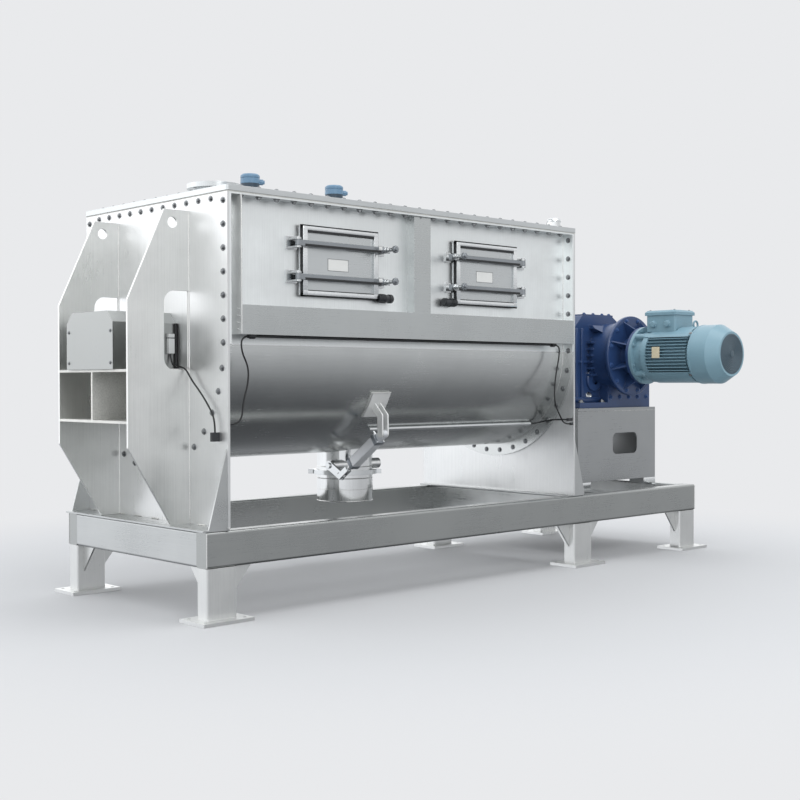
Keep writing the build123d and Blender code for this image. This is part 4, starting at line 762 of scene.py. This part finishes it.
for number, away in ((1, -1), (2, 1)):
    low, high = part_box(f"door_{number}_panel")
    body = f"door_{number}"
    middle_x, middle_z = (low[0] + high[0]) / 2, (low[2] + high[2]) / 2
    bm = bmesh.new()
    for x0, x1 in ((low[0], low[0] + rim_width), (high[0] - rim_width, high[0])):
        slab(
            bm,
            (x0 - 0.0005, low[1] - 0.0012, low[2] - 0.0005),
            (x1, low[1] + 0.006, high[2] + 0.0005),
            0.002,
        )
    for z0, z1 in ((low[2], low[2] + 0.020), (high[2] - 0.018, high[2])):
        slab(bm, (low[0] + 0.001, low[1] - 0.0014, z0), (high[0] - 0.001, low[1] + 0.006, z1), 0.0015)
    finished(f"door_{number}_hemmed_rim", bm, rim_steel, body=body)
    # Black strips in the grooves near the top and bottom of the pan and round the door's outline are
    # painted shade in the recesses and in the gap to the wall.
    bm = bmesh.new()
    for z0, z1 in ((low[2] + 0.020, low[2] + 0.024), (high[2] - 0.028, high[2] - 0.018)):
        slab(
            bm, (low[0] + 0.004, low[1] - 0.0004, z0), (high[0] - 0.004, low[1] + 0.004, z1), 0.0003, 1
        )
    for x0, x1, z0, z1 in (
        (low[0], high[0], low[2], low[2] + hem),
        (low[0], high[0], high[2] - hem, high[2]),
        (low[0], low[0] + hem, low[2], high[2]),
        (high[0] - hem, high[0], low[2], high[2]),
    ):
        slab(
            bm, (x0 - lip, high[1] - 0.010, z0 - lip), (x1 + lip, high[1] - 0.0005, z1 + lip), 0.001, 1
        )
    finished(f"door_{number}_painted_shade_edge", bm, painted_shade_black, body=body)
    bm = bmesh.new()
    face = low[1] + 0.011
    slab(
        bm,
        (middle_x + sticker_left, face - 0.0008, middle_z + sticker_low),
        (middle_x + sticker_right, face + 0.001, middle_z + sticker_high),
        0.0003,
        1,
    )
    finished(f"door_{number}_blank_sticker", bm, sticker_film, body=body)
    bm = bmesh.new()
    for x0, x1, z0, z1 in (
        (0, 0.129, 0, 0.0025),
        (0, 0.129, 0.0555, 0.058),
        (0, 0.0025, 0, 0.058),
        (0.1265, 0.129, 0, 0.058),
    ):
        slab(
            bm,
            (middle_x + sticker_left + x0, face - 0.0011, middle_z + sticker_low + z0),
            (middle_x + sticker_left + x1, face - 0.0004, middle_z + sticker_low + z1),
            0.0002,
            1,
        )
    finished(f"door_{number}_sticker_border", bm, sticker_ink, body=body)
    # Each bar has a black strip under its lower edge, which is painted shadow, and a bright slab of
    # ground steel at its end towards its screw, which is a painted highlight; the screw has a nut and a
    # knob.
    for height_name, z in (("lower", middle_z - bar_spacing), ("upper", middle_z + bar_spacing)):
        bm = bmesh.new()
        slab(
            bm,
            (low[0] - 0.004, low[1] - 0.0215, z - 0.0145),
            (high[0] + 0.004, low[1] - 0.0185, z - 0.003),
            0.001,
            1,
        )
        finished(f"door_{number}_{height_name}_bar_edge", bm, painted_shade_black, body=body)
        screw_low, screw_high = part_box(f"door_{number}_{height_name}_screw")
        place = ((screw_low[0] + screw_high[0]) / 2, screw_high[1], z)
        bm = bmesh.new()
        bar_highlight_end = high[0] - 0.012 if away < 0 else low[0] + 0.012
        reach = place[0] + away * 0.024
        slab(
            bm,
            (min(bar_highlight_end, reach), low[1] - 0.0222, z - 0.003),
            (max(bar_highlight_end, reach), low[1] - 0.0180, z + 0.0146),
            0.0015,
        )
        finished(f"door_{number}_{height_name}_bar_end", bm, ground_steel_and_painted_highlight, body)
        bm = bmesh.new()
        turned(
            bm,
            [
                (0, 0), (0.0068, 0), (0.008, 0.002), (0.008, 0.0233), (0.017, 0.0233), (0.017, 0.0273),
                (0.008, 0.0273), (0.008, 0.0813),
            ],
            place,
            (0, -1, 0),
            20,
        )
        turned(
            bm,
            [
                (0.008, 0.0273), (0.0138, 0.0273), (0.015, 0.029), (0.015, 0.0426), (0.0138, 0.0443),
                (0.008, 0.0443),
            ],
            place,
            (0, -1, 0),
            6,
        )
        for thread in range(7):
            turned(
                bm,
                [
                    (0.008, 0.0465 + 0.005 * thread),
                    (0.0092, 0.049 + 0.005 * thread),
                    (0.008, 0.0515 + 0.005 * thread),
                ],
                place,
                (0, -1, 0),
                16,
            )
        finished(
            f"door_{number}_{height_name}_screw_shank",
            bm,
            polished_steel,
            body=f"door_{number}_{height_name}_clamp",
            stands_for=(f"door_{number}_{height_name}_screw",),
        )
        bm = bmesh.new()
        turned(
            bm,
            [
                (0.008, 0.0813), (0.0145, 0.0813), (0.0165, 0.0835), (0.0165, 0.096), (0.0145, 0.098),
                (0.009, 0.098), (0.009, 0.105), (0, 0.105),
            ],
            place,
            (0, -1, 0),
            24,
        )
        for rib in range(12):
            across = Vector((cos(2 * pi * rib / 12), 0, sin(2 * pi * rib / 12)))
            foot = Vector(place) + across * 0.0165
            turned(
                bm, [(0, 0.0835), (0.0018, 0.0835), (0.0018, 0.096), (0, 0.096)], foot, (0, -1, 0), 6
            )
        finished(
            f"door_{number}_{height_name}_ribbed_knob",
            bm,
            bar_enamel,
            body=f"door_{number}_{height_name}_clamp",
        )

# Left end: two lifting brackets of plate with windows, shelves between them, and the screwed cover over
# the bearing. The brackets are welded to the end plate along their full height.
bracket_steel = steel("bracket_plate_steel", "#e6e7e5", 0.36, "Z", 6.0, shade=0.12)
shelf_steel = steel(
    "handled_shelf_steel", "#d4d4d0", 0.45, "Y", 8.0, cloud=0.4, shade=0.35, metallic=0.6
)
cover_steel = steel("bearing_cover_steel", "#a6a8a7", 0.34, "Z", 6.0, shade=0.06)
iron_grey = paint("bearing_iron_enamel", "#5b6064", 0.4, metallic=0.3)
dress(bracket_steel, "bearing_brackets")
dress(shelf_steel, "bearing_shelves")
dress(cover_steel, "bearing_cover")
dress(iron_grey, "left_bearing", "right_bearing", "shaft_seals", "shaft_coupling")
brackets_low, brackets_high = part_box("bearing_brackets")
cover_low, cover_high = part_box("bearing_cover")
shelf_low, shelf_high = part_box("bearing_shelves")
bm = bmesh.new()
for y in (brackets_low[1], brackets_low[1] + 0.012, brackets_high[1] - 0.012, brackets_high[1]):
    bead(bm, [(left_face, y, frame_top + 0.02), (left_face, y, brackets_high[2] - 0.01)], 0.0032)
for z in (shelf_low[2], shelf_high[2]):
    bead(
        bm,
        [(shelf_low[0] + 0.01, brackets_low[1] + 0.0125, z), (left_face, brackets_low[1] + 0.0125, z)],
        0.0028,
    )
    bead(
        bm,
        [
            (shelf_low[0] + 0.01, brackets_high[1] - 0.0125, z),
            (left_face, brackets_high[1] - 0.0125, z),
        ],
        0.0028,
    )
finished("bracket_welds", bm, weld_steel)
cover_places = [
    (cover_low[0], y, z)
    for y in (cover_low[1] + 0.02, cover_high[1] - 0.02)
    for z in (cover_low[2] + 0.03, cover_high[2] - 0.09)
]
fasten("cover_screws", cover_places, (-1, 0, 0), 0.006, 0.004, bolt_steel)
# Black strips along the cover's two side edges are painted shade on its sides.
bm = bmesh.new()
for y, way in ((cover_low[1], -1), (cover_high[1], 1)):
    slab(
        bm,
        (left_face - 0.014, min(y, y + way * 0.012), cover_low[2]),
        (left_face - 0.002, max(y, y + way * 0.012), cover_high[2] - 0.05),
        0.001,
        1,
    )
finished("cover_edge_painted_shade", bm, painted_shade_black)

# Cable box on the side of the bearing cover: light grey moulded plastic in two parts with a line
# between them, and a gland below.
box_plastic = paint("light_grey_box_plastic", "#c4c6c6", 0.4, mottle=0.03)
dark_plastic = paint("dark_fitting_plastic", "#26282b", 0.4)
dress(dark_plastic, "door_switches", "cable_fittings")
box_x, box_z, box_half_width, box_half_height, box_depth = -1.7765, 1.228, 0.0175, 0.046, 0.016
box_back = cover_low[1]
bm = bmesh.new()
grow = 0.0006
for z0, z1 in ((-1, 0.55), (0.58, 1)):
    slab(
        bm,
        (
            box_x - box_half_width - grow,
            box_back - box_depth - grow,
            box_z + z0 * box_half_height - grow * (z0 < 0),
        ),
        (
            box_x + box_half_width + grow,
            box_back - 0.0002,
            box_z + z1 * box_half_height + grow * (z1 == 1),
        ),
        0.003,
    )
finished("cable_box_shell", bm, box_plastic)

# Coupling guard of rolled sheet, gearbox and input lantern: cast housings in blue enamel, with their
# bolt heads painted over. Ribs, oil glass and plug stand on the front face.
# The guard's steel is given a dark colour, which is painted shade.
guard_steel_painted_shade = steel("coupling_guard_steel_painted_shade", "#7d8184", 0.36, "X", 3.0)
gear_enamel = paint("gear_blue_enamel", "#294069", 0.28, mottle=0.12, edge_mm=5.0)
head_enamel = paint("gear_blue_bolt_enamel", "#35507f", 0.30, edge_mm=1.0)
dress(guard_steel_painted_shade, "coupling_guard")
dress(gear_enamel, "gearbox_housing", "input_lantern")
gear_low, gear_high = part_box("gearbox_housing")
input_x, input_z, ring_back = 1.454, 1.210, -0.415
block_left, block_face, gear_face, gear_foot_top = 1.361, -0.300, -0.230, 0.922
lantern_bolt_radius, lantern_rim_radius = 0.220, 0.245
cover_z = gear_high[2]
places = [
    (
        input_x + lantern_bolt_radius * cos(pi * (i + 0.5) / 6),
        ring_back,
        input_z + lantern_bolt_radius * sin(pi * (i + 0.5) / 6),
    )
    for i in range(12)
]
fasten("lantern_bolts", places, (0, -1, 0), 0.011, 0.009, head_enamel)
places = [
    (block_left + 0.030 + 0.370 * i / 4, block_face, z)
    for i in range(5)
    for z in (0.955, 1.335 if i < 3 else 1.18)
]
places = [
    p
    for p in places
    if (p[0] - input_x) ** 2 + (
        p[2] - input_z
    ) ** 2 > lantern_rim_radius**2 and p[0] < gear_high[0] - 0.02
]
fasten("gear_case_bolts", places, (0, -1, 0), 0.012, 0.009, head_enamel)
places = [(x, y, cover_z) for x in (1.310, 1.400, 1.490, 1.560) for y in (-0.150, 0.150)]
fasten("gear_cover_bolts", places, (0, 0, 1), 0.010, 0.008, head_enamel)
foot_xs = [gear_low[0] + 0.05 + 0.205 * i for i in range(4)]
places = [(x, y, gear_foot_top) for x in foot_xs for y in (-0.270, 0.270) if x < block_left - 0.02]
fasten("gear_foot_bolts", places, (0, 0, 1), 0.015, 0.013, bolt_steel)
bm = bmesh.new()
turned(
    bm,
    [(0, 0), (0.026, 0), (0.026, 0.006), (0.021, 0.009), (0.019, 0.009), (0.019, 0.004), (0, 0.004)],
    (1.252, gear_face, 0.962),
    (0, -1, 0),
    28,
)
turned(bm, [(0, 0), (0.014, 0), (0.014, 0.012), (0, 0.012)], (1.252, gear_face, 1.10), (0, -1, 0), 6)
finished("oil_glass_and_plug", bm, polished_steel)
bm = bmesh.new()
slab(
    bm,
    (gear_low[0] + 0.02, gear_face - 0.016, gear_foot_top),
    (block_left, gear_face + 0.01, 0.955),
    0.006,
)
slab(bm, (gear_low[0] + 0.02, gear_face - 0.010, 1.165), (block_left, gear_face + 0.01, 1.180), 0.005)
for x in (gear_low[0] + 0.035, 1.170):
    slab(bm, (x, gear_face - 0.014, 0.93), (x + 0.022, gear_face + 0.01, 1.38), 0.006)
turned(
    bm,
    [(0.030, 0), (0.072, 0), (0.072, 0.012), (0.066, 0.018), (0.030, 0.018)],
    (1.300, gear_face, 1.062),
    (0, -1, 0),
    36,
)
turned(
    bm,
    [(0.236, 0), (0.244, 0), (0.246, 0.004), (0.246, 0.018), (0.242, 0.022), (0.236, 0.022)],
    (input_x, ring_back + 0.022, input_z),
    (0, -1, 0),
    64,
)
finished("gear_case_ribs", bm, gear_enamel)

# Motor: a finned casting in grey-blue enamel with a terminal box on its neck, an eye bolt and bosses at
# the flange. The sheet cowl over its fan is screwed on and ends in a slate grille; its plate is blank.
motor_enamel = paint("motor_grey_blue_enamel", "#7494a2", 0.34, mottle=0.05, edge_mm=1.5)
# The slate also fills the grille's flat disc, which is painted shade.
grille_slate_and_painted_shade = paint("grille_slate_enamel_and_painted_shade", "#3d4f5a", 0.4)
label_beige = paint("blank_plate_beige", "#c9bfa4", 0.4, mottle=0.02)
dress(motor_enamel, "motor_body", "terminal_box", "fan_cowl")
dress(polished_steel, "motor_rotor")
flange_end, frame_end, cowl_end = -0.531, -0.930, -1.121
cowl_radius, grille_radius, motor_bolt_radius, boss_radius = 0.173, 0.112, 0.160, 0.158
places = [
    (
        input_x + motor_bolt_radius * cos(pi * (i + 0.5) / 4),
        flange_end,
        input_z + motor_bolt_radius * sin(pi * (i + 0.5) / 4),
    )
    for i in range(8)
]
fasten("motor_flange_bolts", places, (0, -1, 0), 0.010, 0.008, motor_enamel)
ways = [(cos(pi * (i + 0.5) / 2), 0, sin(pi * (i + 0.5) / 2)) for i in range(4)]
places = [
    (input_x + way[0] * cowl_radius, frame_end + 0.008, input_z + way[2] * cowl_radius) for way in ways
]
fasten("cowl_screws", places, ways, 0.007, 0.004, bolt_steel)
box_low, box_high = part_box("terminal_box")
places = [
    (x, y, box_high[2])
    for x in (box_low[0] + 0.024, box_high[0] - 0.024)
    for y in (box_low[1] + 0.024, box_high[1] - 0.024)
]
fasten("terminal_lid_screws", places, (0, 0, 1), 0.006, 0.004, bolt_steel)
bm = bmesh.new()
for y in (box_low[1] + 0.060, box_high[1] - 0.060):
    turned(
        bm,
        [
            (0, -0.008), (0.022, -0.008), (0.022, 0.004), (0.018, 0.007), (0.018, 0.015),
            (0.014, 0.018), (0, 0.018),
        ],
        (box_low[0] + 0.006, y, box_low[2] + 0.045),
        (-1, 0, 0),
        20,
    )
turned(
    bm,
    [(0, 0), (0.016, 0), (0.016, 0.006), (0.009, 0.010), (0.009, 0.016), (0, 0.016)],
    (input_x, frame_end + 0.055, input_z + 0.141),
    (0, 0, 1),
    16,
)
eye_z, eye_radius, eye_wire = input_z + 0.141 + 0.036, 0.022, 0.006
eye = [
    (
        input_x + eye_radius * cos(2 * pi * i / 16),
        frame_end + 0.055,
        eye_z + eye_radius * sin(2 * pi * i / 16),
    )
    for i in range(17)
]
bead(bm, eye, eye_wire)
for i in range(4):
    across = Vector((cos(pi * (i + 0.5) / 2), 0, sin(pi * (i + 0.5) / 2))) * boss_radius
    turned(
        bm,
        [(0, 0), (0.017, 0), (0.017, 0.060), (0.012, 0.066), (0, 0.066)],
        Vector((input_x, flange_end, input_z)) + across,
        (0, -1, 0),
        16,
    )
turned(
    bm,
    [
        (cowl_radius + 0.0002, 0),
        (cowl_radius + 0.0015, 0.001),
        (cowl_radius + 0.0015, 0.011),
        (cowl_radius + 0.0002, 0.012),
    ],
    (input_x, frame_end - 0.002, input_z),
    (0, -1, 0),
    64,
)
finished("motor_dressing", bm, motor_enamel)
# The flat slate disc under the rings stands for the dark inside of the cowl seen through its grille:
# painted shade.
bm = bmesh.new()
turned(
    bm,
    [(0, -0.001), (grille_radius, -0.001), (grille_radius, 0.0006), (0, 0.0006)],
    (input_x, cowl_end, input_z),
    (0, -1, 0),
    56,
)
for ring in range(9):
    radius = 0.028 + 0.0095 * ring
    turned(
        bm,
        [
            (radius - 0.0022, 0.0005),
            (radius - 0.0012, 0.0022),
            (radius + 0.0012, 0.0022),
            (radius + 0.0022, 0.0005),
        ],
        (input_x, cowl_end, input_z),
        (0, -1, 0),
        56,
    )
turned(
    bm,
    [(0.118, 0.0), (0.110, 0.0022), (0.110, -0.002), (0.118, -0.002)],
    (input_x, cowl_end, input_z),
    (0, -1, 0),
    56,
)
turned(
    bm,
    [(0, 0.001), (0.019, 0.001), (0.021, 0.003), (0.013, 0.0045), (0, 0.003)],
    (input_x, cowl_end, input_z),
    (0, -1, 0),
    32,
)
finished("grille_rings", bm, grille_slate_and_painted_shade)
bm = bmesh.new()
slab(
    bm,
    (input_x - 0.1700, flange_end - 0.205, input_z - 0.020),
    (input_x - 0.1675, flange_end - 0.150, input_z + 0.046),
    0.0008,
    1,
)
finished("motor_blank_plate", bm, label_beige)

# Pedestal: folded brushed sheet with a window in front, welded under its top plate. Bright feet sit on
# the rails at both ends.
pedestal_steel = steel("pedestal_brushed_steel", "#a9abac", 0.34, "X", 2.5, shade=0.08)
dress(pedestal_steel, "gearbox_pedestal")
pedestal_low, pedestal_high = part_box("gearbox_pedestal")
foot_top = frame_top + 0.035
bm = bmesh.new()
for x0, x1 in (
    (pedestal_low[0] - 0.001, pedestal_low[0] + 0.124),
    (pedestal_high[0] - 0.124, pedestal_high[0] + 0.001),
):
    slab(
        bm,
        (x0, pedestal_low[1] - 0.0015, frame_top + 0.0005),
        (x1, pedestal_low[1] + 0.004, foot_top),
        0.002,
    )
finished("pedestal_foot_faces", bm, rim_steel)
bm = bmesh.new()
bead(
    bm,
    [
        (pedestal_low[0], pedestal_low[1], pedestal_high[2] - 0.020),
        (pedestal_high[0], pedestal_low[1], pedestal_high[2] - 0.020),
    ],
    0.0016,
)
finished("pedestal_top_weld", bm, weld_steel)

# Discharge: a neck and a hand-rolled skirt with swaged beads, joined by a bolted clamp ring, and the
# flap's shaft with its crank. The cylinder's bracket is ground flat bar, welded to the belly.
skirt_steel = steel(
    "hand_rolled_skirt_steel", "#e0e1e1", 0.10, "Z", 26.0, cloud=0.2, shade=0.12, bump=0.004
)
dress(skirt_steel, "discharge_neck", "discharge_skirt")
dress(polished_steel, "clamp_ring", "valve_shaft", "valve_flap", "cylinder_rod")
dress(ground_steel_and_painted_highlight, "cylinder_bracket")
neck_x, joint_z, skirt_foot_z = -0.544, 0.573, 0.421
bm = bmesh.new()
for z, reach in (
    (joint_z + 0.030, 0.1518),
    (joint_z - 0.032, 0.1518),
    (joint_z - 0.090, 0.1508),
    (skirt_foot_z, 0.1515),
):
    turned(
        bm,
        [(reach - 0.0015, -0.0025), (reach, 0), (reach - 0.0015, 0.0025)],
        (neck_x, 0, z),
        (0, 0, 1),
        64,
    )
pad_left, pad_right, pad_bottom, pad_top = -0.792, -0.668, 0.876, 0.998
pad_route = [
    (pad_right, pad_top),
    (pad_left, pad_top),
    (pad_left, (pad_top + pad_bottom) / 2),
    (pad_left, pad_bottom),
]
bead(bm, [(x, -((wall_y**2 - (axis_z - z) ** 2) ** 0.5) - 0.010, z) for x, z in pad_route], 0.003)
finished("discharge_beads", bm, weld_steel)

# Air cylinder: an anodised square barrel between cast end caps, held by tie rods and tilting on its
# bracket. Its dressing is built along Y and turned to the line from the pivot to the crank's pin.
barrel_aluminium = paint("anodised_barrel", "#d3d5d8", 0.32, metallic=0.5)
cap_aluminium = paint("cast_end_cap", "#8d9298", 0.35, metallic=0.8)
dress(barrel_aluminium, "cylinder_barrel")
pivot = Vector((-0.730, -0.510, 0.793))
crank_y, crank_z, crank_radius, crank_angle = -0.095, 0.615, 0.105, radians(208)
pin = Vector(
    (-0.730, crank_y + crank_radius * cos(crank_angle), crank_z + crank_radius * sin(crank_angle))
)
tilt = Matrix.Translation(pivot) @ Matrix.Rotation(atan2((pin - pivot).z, (pin - pivot).y), 4, "X")
caps = bmesh.new()
for start, end in ((0.0395, 0.066), (0.262, 0.2885)):
    made = slab(caps, (-0.0275, start, -0.0275), (0.0275, end, 0.0275), 0.003)
    bmesh.ops.transform(caps, matrix=tilt, verts=made)
rods = bmesh.new()
for x in (-0.021, 0.021):
    for z in (-0.021, 0.021):
        before = set(rods.verts)
        turned(
            rods, [(0, 0.036), (0.0055, 0.036), (0.0055, 0.040), (0, 0.040)], (x, 0, z), (0, 1, 0), 6
        )
        turned(
            rods, [(0, 0.288), (0.0055, 0.288), (0.0055, 0.292), (0, 0.292)], (x, 0, z), (0, 1, 0), 6
        )
        bmesh.ops.transform(rods, matrix=tilt, verts=[v for v in rods.verts if v not in before])
for y in (0.053, 0.275):
    before = set(rods.verts)
    turned(
        rods,
        [(0, 0.027), (0.008, 0.027), (0.008, 0.040), (0.006, 0.041), (0.006, 0.050), (0, 0.050)],
        (0, y, 0),
        (0, 0, 1),
        16,
    )
    bmesh.ops.transform(rods, matrix=tilt, verts=[v for v in rods.verts if v not in before])
finished("cylinder_end_caps", caps, cap_aluminium, "barrel")
finished("cylinder_ports_and_nuts", rods, polished_steel, "barrel")

# Bright pipe along the belly, the rotor inside, and the black sleeve of the conduit under the beam with
# a gland at each end.
black_conduit = paint("black_conduit_sleeve", "#191a1c", 0.45)
black_rubber = paint("black_cable_jacket", "#141517", 0.5, peel_mm=3)
pale_rubber = paint("pale_silicone_gasket", "#d0d0cb", 0.5)
dress(polished_steel, "service_pipes", "mixer_shaft", "outer_ribbon", "inner_ribbon", "ribbon_arms")
dress(pale_rubber, "lid_gasket", "door_gaskets")
dress(black_rubber, "coupling_disc")
conduit_y, conduit_z, conduit_left, conduit_right = -0.600, 1.2567, -1.602, 0.470
bm = bmesh.new()
turned(
    bm,
    [(0, 0), (0.0064, 0), (0.0064, conduit_right - conduit_left), (0, conduit_right - conduit_left)],
    (conduit_left, conduit_y, conduit_z),
    (1, 0, 0),
    16,
)
for end, way in ((conduit_left, -1), (conduit_right, 1)):
    turned(
        bm,
        [(0, -0.014), (0.013, -0.014), (0.013, 0.010), (0.009, 0.014), (0.009, 0.022), (0, 0.022)],
        (end, conduit_y, conduit_z),
        (way, 0, 0),
        12,
    )
finished("conduit_sleeve", bm, black_conduit)

# Cables and the air hose: black jacketed lines of 8 mm, limp, held at both ends in glands and hanging
# free between them.
left_gland_z, right_gland_z = 0.868, 0.812
for name, points in (
    (
        "cable_front_left",
        [
            (conduit_left, conduit_y, conduit_z), (-1.658, conduit_y, conduit_z),
            (-1.660, conduit_y, 1.190), (-1.621, conduit_y, 1.120), (-1.622, conduit_y, 1.050),
            (-1.650, conduit_y, 0.965), (-1.660, conduit_y, left_gland_z),
            (-1.708, conduit_y, left_gland_z),
        ],
    ),
    (
        "cable_front_right",
        [
            (conduit_right, conduit_y, conduit_z), (0.528, conduit_y, conduit_z),
            (0.524, conduit_y, 1.190), (0.496, conduit_y, 1.095), (0.482, conduit_y, 0.997),
            (0.488, conduit_y, 0.925), (0.533, conduit_y, 0.857), (0.566, conduit_y, right_gland_z),
            (0.620, conduit_y, right_gland_z),
        ],
    ),
    (
        "cable_left",
        [
            (-1.7765, -0.214, 1.182), (-1.7765, -0.214, 1.123), (-1.7685, -0.316, 1.123),
            (-1.762, -0.362, 1.061), (-1.760, -0.425, 1.010), (-1.760, -0.487, 0.952),
            (-1.760, -0.540, 0.890), (-1.760, -0.540, 0.830),
        ],
    ),
    (
        "valve_hose",
        [
            (0.540, -0.3687, 0.8105), (0.592, -0.3687, 0.8105), (0.606, -0.437, 0.828),
            (0.614, -0.517, 0.836), (0.614, -0.585, 0.836),
        ],
    ),
):
    curve = bpy.data.curves.new(name + "_line", "CURVE")
    curve.dimensions = "3D"
    spline = curve.splines.new("NURBS")
    spline.points.add(len(points) - 1)
    for control, place in zip(spline.points, points):
        control.co = (*place, 1)
    spline.order_u = 3
    spline.use_endpoint_u = True
    spline.resolution_u = 8
    line = bpy.data.objects.new(name + "_line", curve)
    collection.objects.link(line)
    bare = bpy.data.meshes.new_from_object(line)
    bpy.data.meshes.remove(bare)
    curve.bevel_depth = 0.004
    curve.bevel_resolution = 3
    curve.use_fill_caps = True
    curve.materials.append(black_rubber)
    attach(line, "machine")
    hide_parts(name)
